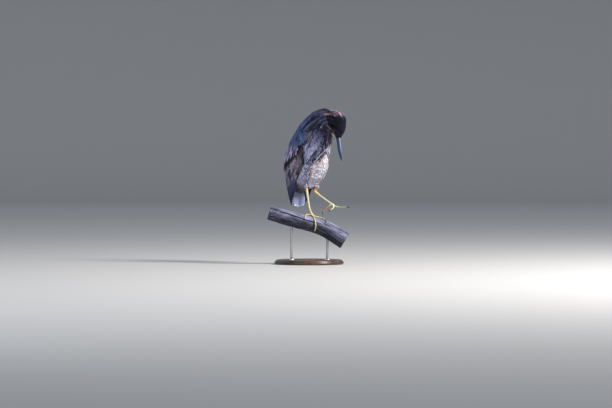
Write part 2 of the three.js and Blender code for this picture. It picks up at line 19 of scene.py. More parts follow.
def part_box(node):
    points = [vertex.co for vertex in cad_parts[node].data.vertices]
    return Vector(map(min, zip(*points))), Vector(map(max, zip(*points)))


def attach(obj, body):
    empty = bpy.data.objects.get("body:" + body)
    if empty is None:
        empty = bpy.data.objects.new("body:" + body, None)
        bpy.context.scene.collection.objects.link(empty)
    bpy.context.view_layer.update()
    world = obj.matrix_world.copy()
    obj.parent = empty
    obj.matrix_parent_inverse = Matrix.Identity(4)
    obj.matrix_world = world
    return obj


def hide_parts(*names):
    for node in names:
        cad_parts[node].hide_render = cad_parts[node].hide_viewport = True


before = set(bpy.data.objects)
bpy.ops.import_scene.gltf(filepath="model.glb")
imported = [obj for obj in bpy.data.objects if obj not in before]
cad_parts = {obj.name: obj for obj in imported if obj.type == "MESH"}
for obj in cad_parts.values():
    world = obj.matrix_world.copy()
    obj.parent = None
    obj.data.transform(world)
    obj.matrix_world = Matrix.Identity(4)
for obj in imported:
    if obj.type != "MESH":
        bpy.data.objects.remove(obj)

scene = bpy.context.scene
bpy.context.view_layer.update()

# %% [markdown]
# ## Two frames for measuring
# A bird is easiest to describe in millimetres from one point of its own under the body, and its head from
# the point between the eyes, along the bill. Both frames are worked out from the CAD eyes, so they follow
# the model.

# %% Bird frame and head frame
EYE_MIDDLE = np.array([0.11615, 0, 0.289])  # from the bird's own origin to midway between the eyeballs
eye_corners = [np.array(corner) for side in ("left", "right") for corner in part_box(f"eye_{side}")]
ORIGIN = np.mean(eye_corners, axis=0) - EYE_MIDDLE

HEAD_BOW = math.radians(74.5)  # how far the bill points below level
BILL_WAY = np.array([math.cos(HEAD_BOW), 0, -math.sin(HEAD_BOW)])
CROWN_WAY = np.array([math.sin(HEAD_BOW), 0, math.cos(HEAD_BOW)])
EYE_POINT = np.array([113.8, 0, 287])


def bird_mm(places):
    """Scene metres to millimetres from the bird's own origin."""
    return (np.asarray(places) - ORIGIN) * 1000


def scene_m(places):
    """Millimetres from the bird's own origin to scene metres."""
    return np.asarray(places, float) / 1000 + ORIGIN


def head_mm(bird):
    """Millimetres along the bill, to the left and towards the crown, from the point between the eyes."""
    away = bird - EYE_POINT
    return np.stack([away @ BILL_WAY, bird[..., 1], away @ CROWN_WAY], axis=-1)


def from_head(along, left, crown):
    """A place in the head's frame, in the bird's frame."""
    return EYE_POINT + np.multiply.outer(along, BILL_WAY) + np.multiply.outer(crown, CROWN_WAY) + (
        np.multiply.outer(left, [0, 1, 0]))


print("bird origin", ORIGIN.round(4))

# %% [markdown]
# ## Camera, floor and light
# A long lens from ten metres away keeps the proportions of a distant bird. The floor runs up into a round
# wall, like a studio cove, so that every side has the same plain ground.

# %% Camera
def placed(name, data):
    """A new object in the scene."""
    made = bpy.data.objects.new(name, data)
    scene.collection.objects.link(made)
    return made


def way_out(turn, rise):
    """The way out from the bird at a turn round it and a rise above the floor, in degrees."""
    turn, rise = math.radians(turn), math.radians(rise)
    return np.array([math.sin(turn) * math.cos(rise), -math.cos(turn) * math.cos(rise), math.sin(rise)])


AIM = scene_m([-14.4, -14.4, 40.8])
VIEW_TURN, VIEW_RISE = 45, 1  # degrees
VIEW_DISTANCE, LENS = 11.56, 200
back = way_out(VIEW_TURN, VIEW_RISE)
camera_data = bpy.data.cameras.new("camera")
camera_data.lens = LENS
camera_data.clip_end = 60
camera = placed("camera", camera_data)
camera.location = AIM + back * VIEW_DISTANCE
camera.rotation_euler = Vector(back).to_track_quat("Z", "Y").to_euler()
scene.camera = camera
scene.view_settings.view_transform = "Standard"
print("camera at", np.round(camera.location, 2))

# %% Nodes in short form
def put(tree, kind, inputs=(), **settings):
    """A shader node. An input takes a value, or an output of another node, which is linked."""
    made = tree.nodes.new("ShaderNode" + kind)
    for name, value in settings.items():
        setattr(made, name, value)
    for name, value in dict(inputs).items():
        if isinstance(value, bpy.types.NodeSocket):
            tree.links.new(value, made.inputs[name])
        else:
            made.inputs[name].default_value = value
    return made


def new_material(name):
    """A material with an empty tree: returns the material and its tree."""
    made = bpy.data.materials.new(name)
    made.use_nodes = True
    made.node_tree.nodes.clear()
    return made, made.node_tree


def noise(tree, place, scale, detail, **more):
    """The values of a noise texture at a place."""
    return put(tree, "TexNoise", {"Vector": place, "Scale": scale, "Detail": detail, **more}).outputs["Fac"]


def stretched(tree, place, scale):
    """A place with its own scale for each axis, which draws a texture out into fibres."""
    return put(tree, "Mapping", {"Vector": place, "Scale": scale}).outputs["Vector"]


def ranged(tree, value, low, high, to_low=0, to_high=1):
    """Values between low and high, brought between two others."""
    ends = {"From Min": low, "From Max": high, "To Min": to_low, "To Max": to_high}
    return put(tree, "MapRange", {"Value": value, **ends}).outputs["Result"]


def multiplied(tree, first, second):
    """One colour times another."""
    colours = {"Factor": 1, "A": first, "B": second}
    return put(tree, "Mix", colours, data_type="RGBA", blend_type="MULTIPLY").outputs["Result"]


def bumps(tree, height, strength, distance):
    """Normals that lean as if the surface had that height."""
    return put(tree, "Bump", {"Height": height, "Strength": strength, "Distance": distance}).outputs["Normal"]


def principled(tree, inputs):
    """The one shader of a material, joined to its output."""
    shader = put(tree, "BsdfPrincipled", inputs)
    tree.links.new(shader.outputs["BSDF"], put(tree, "OutputMaterial").inputs["Surface"])

# %% Floor and wall
def lathe(name, profile, turns):
    """A surface turned round the upright axis through the origin, from [radius, height] pairs."""
    angles = np.linspace(0, 2 * math.pi, turns, endpoint=False)
    radius, height = np.array(profile, float).T
    points = np.stack([np.outer(np.cos(angles), radius), np.outer(np.sin(angles), radius),
                       np.tile(height, (turns, 1))], axis=-1)
    count = len(profile)
    faces = [(i * count + j, (i + 1) % turns * count + j, (i + 1) % turns * count + j + 1, i * count + j + 1)
             for i in range(turns) for j in range(count - 1)]
    mesh = bpy.data.meshes.new(name)
    mesh.from_pydata(points.reshape(-1, 3).tolist(), [], faces)
    return placed(name, mesh)


COVE_RADIUS, COVE_CURVE, COVE_HEIGHT = 13, 2, 5
bend = [[COVE_RADIUS + COVE_CURVE * math.sin(a), COVE_CURVE * (1 - math.cos(a))]
        for a in np.linspace(0, math.pi / 2, 9)]
cove = lathe("studio_cove", [[0.001, 0], [2, 0], [8, 0], *bend, [COVE_RADIUS + COVE_CURVE, COVE_HEIGHT]], 96)
cove.data.shade_smooth()
cove_paint, tree = new_material("studio_paint")
grain = put(tree, "TexNoise", {"Scale": 3, "Detail": 4}).outputs["Fac"]
grey = multiplied(tree, (0.43, 0.43, 0.42, 1), ranged(tree, grain, 0, 1, 0.97, 1.03))
principled(tree, {"Base Color": grey, "Roughness": 0.9})
cove.data.materials.append(cove_paint)

# %% Lights
def softbox(name, turn, rise, distance, size, power, colour):
    """An area light that looks at the bird from a turn round it and a rise above the floor."""
    way = Vector(way_out(turn, rise))
    data = bpy.data.lights.new(name, "AREA")
    data.size, data.energy, data.color = size, power, colour
    made = placed(name, data)
    made.location = Vector(AIM) + way * distance
    made.rotation_euler = way.to_track_quat("Z", "Y").to_euler()
    made.visible_camera = False


softbox("key_light", 104, 34, 4.5, 1.3, 400, (1, 0.95, 0.91))
softbox("fill_light", 12, 20, 5, 3, 50, (0.80, 0.88, 1))
world = bpy.data.worlds.new("studio_air")
world.use_nodes = True
air = world.node_tree.nodes["Background"]
air.inputs["Color"].default_value = (0.80, 0.87, 1, 1)
air.inputs["Strength"].default_value = 0.55
scene.world = world

# %% [markdown]
# ## The skin
# Under its feathers a bird has one thin skin over head, neck, body and legs. The CAD flesh comes as
# separate closed solids, out to the tips of the coat. They are joined, turned into one even net of small
# faces by a voxel remesh, smoothed, and then sunk by the depth of the coat at each place.

# %% Meshes in and out of arrays
def pulled(items, label, width, kind=np.float32):
    """One property of every item of a mesh, as rows of an array."""
    flat = np.empty(len(items) * width, kind)
    items.foreach_get(label, flat)
    return flat.reshape(-1, width)


def mesh_points(mesh):
    """The corners of a mesh."""
    return pulled(mesh.vertices, "co", 3).astype(float)


def mesh_normals(mesh):
    """The smooth normal at each corner of a mesh."""
    return pulled(mesh.vertex_normals, "vector", 3).astype(float)


def set_points(mesh, points):
    mesh.vertices.foreach_set("co", np.asarray(points, np.float32).ravel())
    mesh.update()

# %% Edits and copies of meshes
@contextlib.contextmanager
def edited(mesh):
    """A mesh opened for edits of its edges and faces, and written back after them."""
    work = bmesh.new()
    work.from_mesh(mesh)
    yield work
    work.to_mesh(mesh)
    work.free()


def joined_copy(name, nodes):
    """One new object from copies of CAD nodes, with the corners of each copy merged."""
    work = bmesh.new()
    for node in nodes:
        work.from_mesh(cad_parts[node].data)
    bmesh.ops.remove_doubles(work, verts=work.verts, dist=1e-6)
    mesh = bpy.data.meshes.new(name)
    work.to_mesh(mesh)
    work.free()
    return placed(name, mesh)


def settle(made):
    """Turns an object's live modifiers into its plain mesh."""
    graph = bpy.context.evaluated_depsgraph_get()
    plain = bpy.data.meshes.new_from_object(made.evaluated_get(graph))
    made.modifiers.clear()
    made.data = plain
    return made

# %% Body form
CLOSING = 0.0004  # the parts swell by this much, so that the thin cuts between them close


def smoothed(made, times):
    """An object with its net smoothed a number of times."""
    smooth = made.modifiers.new("smooth", "SMOOTH")
    smooth.factor, smooth.iterations = 0.5, times
    return settle(made)


def even_net(made, cell, smoothing):
    """Remeshes an object to an even net of cells, then smooths it."""
    set_points(made.data, mesh_points(made.data) + mesh_normals(made.data) * CLOSING)
    remesh = made.modifiers.new("even_net", "REMESH")
    remesh.mode, remesh.voxel_size = "VOXEL", cell
    return smoothed(made, smoothing)


def blend(low, high, value):
    """A soft step: 0 at low, 1 at high. low may be the larger."""
    share = np.clip((value - low) / (high - low), 0, 1)
    return share * share * (3 - 2 * share)


def band(low, full_low, full_high, high, value):
    """A soft band: 0 outside low and high, and 1 between the other two."""
    return blend(low, full_low, value) * blend(high, full_high, value)


def mix(first, second, share):
    """The first value where the share is 0, the second where it is 1."""
    return first * (1 - share) + second * share


SIDES = {"right": -1, "left": 1}
TOE_NAMES = ("hind", "inner", "middle", "outer")
body_pairs = [f"{part}_{side}" for part in ("thigh", "tibia", "wing") for side in SIDES]
body_nodes = ["head", "neck", "trunk", *body_pairs]
leg_parts = ["tibia", "tarsus", "foot", *(f"toe_{toe}" for toe in TOE_NAMES)]
leg_nodes = [f"{part}_{side}" for side in SIDES for part in leg_parts]
BODY_CELL, BODY_SMOOTHING = 0.0023, 14
LEG_CELL, LEG_SMOOTHING = 0.0008, 7
body_form = even_net(joined_copy("body_form", body_nodes), BODY_CELL, BODY_SMOOTHING)
print("body net", len(body_form.data.vertices))

# %% [markdown]
# ## Depth of the coat
# Feathers are deep and loose on the body, shorter on the neck and crown, tiny on the cheeks, and missing on
# the lores, the eyelids and the legs. One function gives that depth anywhere, so the skin can lie under it
# and the feathers can be cut to fill it.

# %% Depth of the coat at each place
BODY_DEPTH, NECK_DEPTH, CROWN_DEPTH, CHEEK_DEPTH, BARE_DEPTH = 8.5, 7.5, 6, 2.4, 0.5
NAPE = np.array([84, 0, 318])
EYE_RADIUS = 8.5
EYE_PLACE = np.array([-1.3, 14.6, 2.8])  # middle of the left eyeball in the head's frame


def in_head(bird):
    """1 on the head, 0 on the neck and body."""
    return blend(-6, 8, (bird - NAPE) @ np.array([0.98, 0, 0.20])) * blend(235, 250, bird[..., 2])


def from_eye(along, crown):
    """Millimetres from the middle of the eye, seen from the side."""
    return np.hypot(along - EYE_PLACE[0], crown - EYE_PLACE[2])


def bare_face(bird):
    """1 on the lores and round the eye, where the skin shows."""
    along, left, crown = np.moveaxis(head_mm(bird), -1, 0)
    reach = blend(-5, -2, along) * blend(34, 26, along)
    upper = 7.6 - 0.12 * np.maximum(along, 0)
    lower = -6.4 - 0.3 * np.maximum(along, 0)
    strip = blend(upper + 1.5, upper - 0.5, crown) * blend(lower - 1.5, lower + 0.5, crown)
    ring_of_lid = blend(9.3, 8.3, from_eye(along, crown))
    return np.maximum(reach * strip, ring_of_lid) * in_head(bird) * blend(2, 4, np.abs(left))


def coat_depth(bird):
    """Depth of the feathers in millimetres."""
    along, _, crown = np.moveaxis(head_mm(bird), -1, 0)
    on_crown = blend(2, 16, crown) * blend(27, 14, along)
    head_depth = CHEEK_DEPTH + (CROWN_DEPTH - CHEEK_DEPTH) * np.maximum(on_crown, blend(-18, -45, along))
    height = bird[..., 2]
    body_depth = NECK_DEPTH + (BODY_DEPTH - NECK_DEPTH) * blend(260, 200, height)
    thigh = blend(112, 96, height) * blend(-45, -20, bird[..., 0])
    depth = mix(body_depth * (1 - 0.75 * thigh), head_depth, in_head(bird))
    return mix(depth, BARE_DEPTH, bare_face(bird))


RUMP_MIDDLE = np.array([-52, 0])  # forward, left
RUMP_REACH = [27, 30]  # half the length and half the width of the rump under the wing ends
SHIN_TOP, SHIN_BACK, SHIN_SQUASH = 94, -20, 0.15


points = bird_mm(mesh_points(body_form.data))
depth = coat_depth(points)
points -= mesh_normals(body_form.data) * (depth[:, None] + CLOSING * 1000)
# The folded wings end in thin edges behind the rump, too thin to lie a coat over: the skin is drawn in there.
reach = np.hypot(*((points[:, :2] - RUMP_MIDDLE) / RUMP_REACH).T)
drawn = blend(136, 118, points[:, 2]) * blend(-36, -54, points[:, 0]) * (1 - 1 / np.maximum(reach, 1))
points[:, :2] = RUMP_MIDDLE + (points[:, :2] - RUMP_MIDDLE) * (1 - drawn)[:, None]
low = (points[:, 2] < SHIN_TOP) & (points[:, 0] > SHIN_BACK)  # the shins end inside the legs' own form
points[low, 2] = SHIN_TOP + (points[low, 2] - SHIN_TOP) * SHIN_SQUASH
set_points(body_form.data, scene_m(points))
print("coat depth from", depth.min().round(1), "to", depth.max().round(1), "mm")

# %% [markdown]
# ## Eyelids, lores and the crease of the gape
# The skin net is too coarse for lids, so its faces round the eyes and lores are cut finer. The lid is then
# drawn on to the eyeball as a thin rim, the skin inside it dives under the ball, and a crease runs from the
# corner of the bill back under the eye.

# %% Finer net on the face
def cut_finer(made, wanted, cuts):
    """Cuts the faces whose corners are all wanted into smaller ones."""
    with edited(made.data) as work:
        chosen = {v for v, keep in zip(list(work.verts), wanted) if keep}
        edges = [e for e in work.edges if e.verts[0] in chosen and e.verts[1] in chosen]
        bmesh.ops.subdivide_edges(work, edges=edges, cuts=cuts, use_grid_fill=True)
        bmesh.ops.triangulate(work, faces=[f for f in work.faces if len(f.verts) > 4])


places = head_mm(bird_mm(mesh_points(body_form.data)))
near_face = (np.abs(places[:, 0] - 10) < 24) & (places[:, 2] > -16) & (places[:, 2] < 19)
FACE_CUTS, FACE_SMOOTHING = 3, 3
cut_finer(body_form, near_face & (places[:, 0] > -15), FACE_CUTS)
smoothed(body_form, FACE_SMOOTHING)
print("body net with a fine face", len(body_form.data.vertices))

# %% Lids and gape
EYE_WAY = np.array([0.22, 1, 0.10]) / np.linalg.norm([0.22, 1, 0.10])  # where the left eye looks
LID_OPENING, LID_WIDTH, LID_RISE = 6.9, 1.7, 0.5


def shape_lids(places, sign):
    """Head-frame places with the lid of one side drawn on to its eyeball."""
    mirror = np.array([1, sign, 1])
    away = places * mirror - EYE_PLACE
    out = away @ EYE_WAY
    flat = away - out[:, None] * EYE_WAY
    reach = np.linalg.norm(flat, axis=1)
    near = (reach < 12) & (out > 0)
    ways = flat / np.maximum(reach, 1e-6)[:, None]
    opening = LID_OPENING * (1 - 0.08 * np.abs(ways[:, 2]) ** 2)
    lid = blend(opening - 0.5, opening, reach) * blend(opening + LID_WIDTH + 2.5, opening + LID_WIDTH, reach)
    height = np.sqrt(np.maximum((EYE_RADIUS + LID_RISE) ** 2 - reach**2, 0))
    rolled = height - 0.35 * blend(opening + 0.9, opening + LID_WIDTH, reach)
    inside = blend(opening, opening - 0.5, reach)
    target = out + (rolled - out) * lid
    target = target + (np.sqrt(np.maximum((EYE_RADIUS - 1.2) ** 2 - reach**2, 0)) - target) * inside
    shaped = EYE_PLACE + flat + np.where(near, target, out)[:, None] * EYE_WAY
    return np.where(near[:, None], shaped, away + EYE_PLACE) * mirror


GAPE = np.array([[30, 0.2], [18, -1.4], [8, -4.2], [1, -7]])  # along the bill, towards the crown


def line_distance(points, line):
    """How far each flat place is from a line of corners."""
    nearest = np.full(len(points), 1e9)
    for start, end in zip(line[:-1], line[1:]):
        run = end - start
        share = np.clip((points - start) @ run / (run @ run), 0, 1)
        nearest = np.minimum(nearest, np.linalg.norm(points - start - share[:, None] * run, axis=1))
    return nearest


points = bird_mm(mesh_points(body_form.data))
normals = mesh_normals(body_form.data)
places = head_mm(points)
on_face = in_head(points) * (np.abs(places[:, 1]) > 3)
crease = blend(1.3, 0, line_distance(places[:, [0, 2]], GAPE)) * on_face
folds = np.sin(places[:, 2] * 2.1 + places[:, 0] * 0.55) * bare_face(points)
CREASE_DEPTH, FOLD_DEPTH = 0.75, 0.10
points = points - normals * (CREASE_DEPTH * crease + FOLD_DEPTH * folds)[:, None]
places = head_mm(points)
for sign in SIDES.values():
    same_side = (np.sign(places[:, 1]) == sign) & (in_head(points) > 0.5)
    places[same_side] = shape_lids(places[same_side], sign)
points = from_head(places[:, 0], places[:, 1], places[:, 2])
set_points(body_form.data, scene_m(points))

# %% [markdown]
# ## Legs with scutes
# A heron's shanks and toes are bare and covered in small horny plates. The leg solids are joined and
# remeshed finely, and each corner then sinks into a groove where two plates meet. Rings of plates follow
# each toe, and a honeycomb of plates follows the shank, so both are laid out along the middle line of the
# CAD part.

# %% Middle lines of the leg parts
def middle_line(node, count):
    """Points along the middle of a long CAD part, in metres."""
    points = mesh_points(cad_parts[node].data)
    centre = points.mean(axis=0)
    way = np.linalg.svd(points - centre, full_matrices=False)[2][0]
    along = (points - centre) @ way
    edges = np.linspace(along.min(), along.max(), count + 1)
    slices = [points[(along >= low - 1e-6) & (along <= high + 1e-6)]
              for low, high in zip(edges[:-1], edges[1:])]
    return np.array([part.mean(axis=0) for part in slices if len(part)])


def along_line(points, line):
    """Metres along a line, distance from it, and the way out from it, for each point."""
    best = np.full(len(points), 1e9)
    place, out = np.zeros(len(points)), np.zeros((len(points), 3))
    start_place = 0
    for start, end in zip(line[:-1], line[1:]):
        run = end - start
        length = np.linalg.norm(run)
        share = (points - start) @ run / length**2
        away = points - start - np.clip(share, 0, 1)[:, None] * run
        distance = np.linalg.norm(away, axis=1)
        closer = distance < best
        best[closer] = distance[closer]
        place[closer] = start_place + (share * length)[closer]
        out[closer] = away[closer]
        start_place += length
    return place, best, out

# %% Scutes
leg_form = even_net(joined_copy("leg_form", leg_nodes), LEG_CELL, LEG_SMOOTHING)
points, normals = mesh_points(leg_form.data), mesh_normals(leg_form.data)
relief, closest = np.zeros(len(points)), np.full(len(points), 1e9)
SCUTE_PITCH = {"toe": 0.0021, "tarsus": 0.0030, "tibia": 0.0026, "foot": 0.0022}
SCUTE_DEPTH, SHANK_COLUMNS = 0.00022, 6
RING_GROOVE, COLUMN_GROOVE = 0.22, 0.12  # width of a groove beside its plate, as a share of the plate
for node in leg_nodes:
    part = node.split("_")[0]
    is_shank = part in ("tarsus", "tibia")
    place, distance, out = along_line(points, middle_line(node, 3 if part == "foot" else 7))
    nearer = distance < closest
    closest[nearer] = distance[nearer]
    turn = np.arctan2(out[:, 1], out[:, 0] + out[:, 2] * 0.5)
    columns = turn / (2 * math.pi) * (SHANK_COLUMNS if is_shank else 1)
    rows = place / SCUTE_PITCH[part] + (0.5 * np.floor(columns) if part != "toe" else 0)
    ring_groove = 1 - blend(0, RING_GROOVE, np.abs(rows - np.round(rows)))
    column_groove = (1 - blend(0, COLUMN_GROOVE, np.abs(columns - np.round(columns)))) * is_shank
    relief[nearer] = np.maximum(ring_groove, column_groove)[nearer]
points -= normals * (relief * SCUTE_DEPTH + CLOSING * 0.75)[:, None]
set_points(leg_form.data, points)
print("leg net", len(leg_form.data.vertices))

# %% One skin
join = body_form.modifiers.new("join_legs", "BOOLEAN")
join.operation, join.solver, join.object = "UNION", "MANIFOLD", leg_form
settle(body_form)
bpy.data.objects.remove(leg_form)
skin = body_form
skin.name = skin.data.name = "skin"
with edited(skin.data) as work:
    bmesh.ops.triangulate(work, faces=work.faces)
    bmesh.ops.collapse(work, edges=[e for e in work.edges if len(e.link_faces) > 2])  # folds that touch
    bmesh.ops.delete(work, geom=[e for e in work.edges if not e.link_faces], context="EDGES")
    bmesh.ops.delete(work, geom=[v for v in work.verts if not v.link_faces], context="VERTS")
    print("skin", len(work.faces), "triangles, open edges", sum(not e.is_manifold for e in work.edges))
skin.data.shade_smooth()
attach(skin, "root")
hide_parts("head", "neck", "trunk", "thigh_left", "thigh_right", *leg_nodes)

# %% [markdown]
# ## An unwrap of the skin
# The skin is cut into flat islands by the way its faces point. The same map later tells each feather where
# its root sits, so that colours baked for the coat land in a small patch at that place.

# %% Unwrap
bpy.context.view_layer.objects.active = skin
skin.select_set(True)
bpy.ops.object.mode_set(mode="EDIT")
bpy.ops.mesh.select_all(action="SELECT")
bpy.ops.uv.smart_project(angle_limit=1.15, island_margin=0.002)
bpy.ops.object.mode_set(mode="OBJECT")
skin.select_set(False)
skin.data.uv_layers[0].name = "OFBake"


class Surface:
    """A closed and unwrapped mesh of triangles that can be asked for the nearest place on it."""

    def __init__(self, mesh):
        self.points, self.normals = mesh_points(mesh), mesh_normals(mesh)
        self.faces = pulled(mesh.loops, "vertex_index", 1, np.int32).reshape(-1, 3)
        self.map = pulled(mesh.uv_layers[0].uv, "vector", 2).reshape(-1, 3, 2)
        self.tree = BVHTree.FromPolygons(self.points.tolist(), self.faces.tolist())

    def nearest(self, places):
        """The nearest places on the surface, the normals there and the faces they are on."""
        hits = [self.tree.find_nearest(place) for place in places.tolist()]
        found = np.array([hit[0] for hit in hits])
        face = np.array([hit[2] for hit in hits])
        corners = self.points[self.faces[face]]
        weights = 1 / (np.linalg.norm(corners - found[:, None], axis=2) + 1e-5)
        normals = (self.normals[self.faces[face]] * weights[..., None]).sum(axis=1)
        return found, normals / np.linalg.norm(normals, axis=1, keepdims=True), face

    def map_at(self, places, face):
        """The place on the unwrap of points on the surface."""
        a, b, c = np.moveaxis(self.points[self.faces[face]], 1, 0)
        edge1, edge2, away = b - a, c - a, places - a
        d11, d12, d22 = (edge1**2).sum(1), (edge1 * edge2).sum(1), (edge2**2).sum(1)
        d1, d2 = (away * edge1).sum(1), (away * edge2).sum(1)
        scale = np.maximum(d11 * d22 - d12**2, 1e-18)
        v, w = (d22 * d1 - d12 * d2) / scale, (d11 * d2 - d12 * d1) / scale
        u, v, w = (np.clip(x, 0, 1)[:, None] for x in (1 - v - w, v, w))
        corners = self.map[face]
        return (corners[:, 0] * u + corners[:, 1] * v + corners[:, 2] * w) / (u + v + w)


hide = Surface(skin.data)
print("skin surface", len(hide.faces), "faces")

# %% [markdown]
# ## Which way the feathers lie
# Feathers point away from the bill: over the crown to the nape, round the cheeks, down the neck sides in
# long slanting plumes, and down the breast, back and flanks to the tail. A groomer combs a coat with a few
# guide strokes, and the rest follows. Each stroke below is a place and a way in the bird's frame, for one
# side and its mirror image, and a feather takes the mean of the strokes near it.

# %% Comb strokes
COMB = np.array([  # place: forward, out to the side, up; way: forward, out to the side, up
    [134, 0, 268, -0.2, 0, 1], [150, 0, 300, -0.3, 0, 1], [146, 0, 332, -0.7, 0, 0.7],
    [128, 14, 285, -0.25, 0.15, 1], [140, 22, 306, -0.55, 0.2, 0.8], [112, 26, 312, -0.9, 0.15, 0.45],
    [122, 16, 262, -0.3, 0.3, 0.9], [100, 16, 268, -0.7, 0.4, 0.1], [106, 24, 288, -0.85, 0.35, 0.2],
    [110, 0, 360, -1, 0, 0.1], [80, 0, 364, -1, 0, -0.1], [20, 0, 350, -0.85, 0, -0.5],
    [-40, 0, 311, -0.45, 0, -0.9], [-90, 0, 235, -0.15, 0, -1], [-108, 0, 150, 0.1, 0, -1],
    [84, 0, 262, -0.2, 0, -1], [92, 14, 262, -0.5, 0.1, -0.8], [80, 0, 240, -0.05, 0, -1],
    [60, 0, 170, -0.15, 0, -1], [26, 0, 116, -0.7, 0, -0.7], [-36, 0, 84, -1, 0, -0.2],
    [-75, 0, 80, -0.4, 0, -1], [95, 30, 340, -1, 0.1, -0.05], [78, 38, 318, -0.95, 0.1, -0.4],
    [84, 34, 296, -0.75, 0.1, -0.7], [82, 30, 272, -0.55, 0.1, -0.9], [50, 44, 326, -0.9, 0.1, -0.5],
    [20, 47, 300, -0.75, 0.1, -0.75], [55, 44, 280, -0.7, 0.1, -0.8], [50, 50, 240, -0.65, 0.05, -0.85],
    [0, 62, 240, -0.5, 0, -0.9], [20, 58, 200, -0.5, 0, -0.9], [0, 66, 170, -0.35, 0, -1],
    [0, 58, 125, -0.55, 0, -0.85], [-30, 45, 92, -0.8, 0, -0.5], [-60, 55, 200, -0.25, 0, -1],
    [-70, 50, 110, -0.15, 0, -1], [-50, 45, 280, -0.45, 0, -0.9], [2, 24, 104, 0, 0, -1],
    [58, 24, 205, -0.35, 0.4, -0.85], [50, 20, 140, -0.4, 0.1, -0.9], [66, 8, 236, -0.2, 0.5, -0.85],
    [44, 40, 215, -0.6, 0.15, -0.8], [62, 0, 200, -0.1, 0, -1], [84, 25, 290, -0.15, -0.5, -0.85],
    [78, 13, 273, -0.2, -0.15, -1], [70, 7, 252, -0.25, 0.2, -0.95], [61, 18, 236, -0.4, 0.5, -0.78],
    [50, 32, 222, -0.5, 0.45, -0.75], [40, 40, 200, -0.5, 0.32, -0.8], [30, 46, 180, -0.45, 0.15, -0.88],
    [-12, 26, 112, -0.35, 0, -0.95], [14, 26, 112, -0.25, 0, -1],
])
COMB[:, 3:] /= np.linalg.norm(COMB[:, 3:], axis=1, keepdims=True)
STROKE_REACH = 20  # millimetres over which a stroke is felt


def lie(bird, normals):
    """The way that feathers lie at each place, along the surface."""
    side = np.where(bird[:, 1] < 0, -1, 1)
    mirror = np.stack([np.ones_like(side), side, np.ones_like(side)], axis=1)
    away = (bird * mirror)[:, None, :] - COMB[None, :, :3]
    near = np.exp(-(away**2).sum(axis=2) / (2 * STROKE_REACH**2)) + 1e-9 / (1 + (away**2).sum(axis=2))
    way = (near @ COMB[:, 3:]) * mirror
    way[:, 1] *= np.clip(np.abs(bird[:, 1]) / 8, 0, 1)
    way -= (way * normals).sum(axis=1, keepdims=True) * normals
    return way / np.maximum(np.linalg.norm(way, axis=1, keepdims=True), 1e-9)

# %% [markdown]
# ## Markings of the plumage
# Skin and feathers carry the same markings, so both ask one function. It paints like a brush on a plain
# ground: each region of the plumage is a soft mask over the one before. A region has a dark and a pale
# colour, the share of its feathers that are pale, and the length and width of its feathers. The long plumes
# of a night heron part in strands, so dark and pale follow a noise that is stretched along the lie, not
# chance alone.

# %% Round the body
OUTLINE = np.array([  # height, back, front and half width of the feathered body, in millimetres
    [74, -70, -40, 20], [94, -94, -18, 40], [116, -104, 26, 58], [139, -108, 42, 63], [166, -111, 56, 66],
    [197, -106, 62, 67], [235, -91, 70, 64], [265, -74, 76, 60], [290, -57, 79, 56], [311, -40, 80, 50],
    [330, -17, 82, 41], [343, 2, 78, 29], [351, 18, 68, 14],
])


def outline_at(height):
    """Back, front and half width of the body at each height."""
    return [np.interp(height, OUTLINE[:, 0], OUTLINE[:, column]) for column in (1, 2, 3)]


def round_body(bird):
    """Degrees round the body from the front, the same on both sides."""
    back, front, half_width = outline_at(bird[:, 2])
    forward = (bird[:, 0] - (back + front) / 2) / ((front - back) / 2)
    return np.degrees(np.arctan2(np.abs(bird[:, 1]) / half_width, forward))


WING_FRONT = np.array([  # height, degrees round the body of the wing's front edge
    [84, 104], [92, 98], [100, 92], [116, 88], [133, 82], [143, 77], [164, 72], [178, 68], [215, 74],
    [245, 83], [270, 89]])


def wing_front(height):
    """Degrees round the body of the folded wing's front edge."""
    return np.interp(height, WING_FRONT[:, 0], WING_FRONT[:, 1])


def before_wing(bird):
    """Degrees from a place forward to the front edge of the folded wing: below zero under the wing."""
    return wing_front(bird[:, 2]) - round_body(bird)


def under_wing(bird):
    """1 where the folded wing covers the body."""
    front, back = wing_front(bird[:, 2]), 174
    share = (round_body(bird) - front) / (back - front)
    top, bottom = 292 - 46 * (2 * share - 1) ** 2, 112 - 34 * share
    return blend(0, 0.05, share) * blend(1.02, 0.99, share) * blend(top, top - 8, bird[:, 2]) * (
        blend(bottom, bottom + 8, bird[:, 2]))


def slit(bird):
    """1 in the slit between the flank and the front edge of the wing, where the feathers are sunk and
    darkened as painted shade.
    """
    return blend(15, 8, before_wing(bird)) * blend(96, 112, bird[:, 2]) * blend(250, 232, bird[:, 2])

# %% Colours and noise
def linear(red, green, blue):
    """A display colour from 0 to 255 as linear light."""
    share = np.array([red, green, blue], float) / 255
    return np.where(share <= 0.04045, share / 12.92, ((share + 0.055) / 1.055) ** 2.4)


def soft_noise(places, cell, seed, wrap=(32, 32, 32)):
    """Smooth noise from 0 to 1, with lumps about one cell across, which repeats after wrap cells."""
    table = np.random.default_rng(seed).random(wrap)
    at = places / cell
    low = np.floor(at).astype(int)
    part = (at - low) ** 2 * (3 - 2 * (at - low))
    total = np.zeros(at.shape[:-1])
    for corner in np.ndindex(*[2] * len(wrap)):
        weight = np.prod(np.where(corner, part, 1 - part), axis=-1)
        total += weight * table[tuple(np.moveaxis((low + corner) % wrap, -1, 0))]
    return total


def round_spot(bird, centre, size):
    """1 in the middle of a soft round spot, and 0 far from it."""
    return np.exp(-(((bird - centre) / size) ** 2).sum(axis=1))

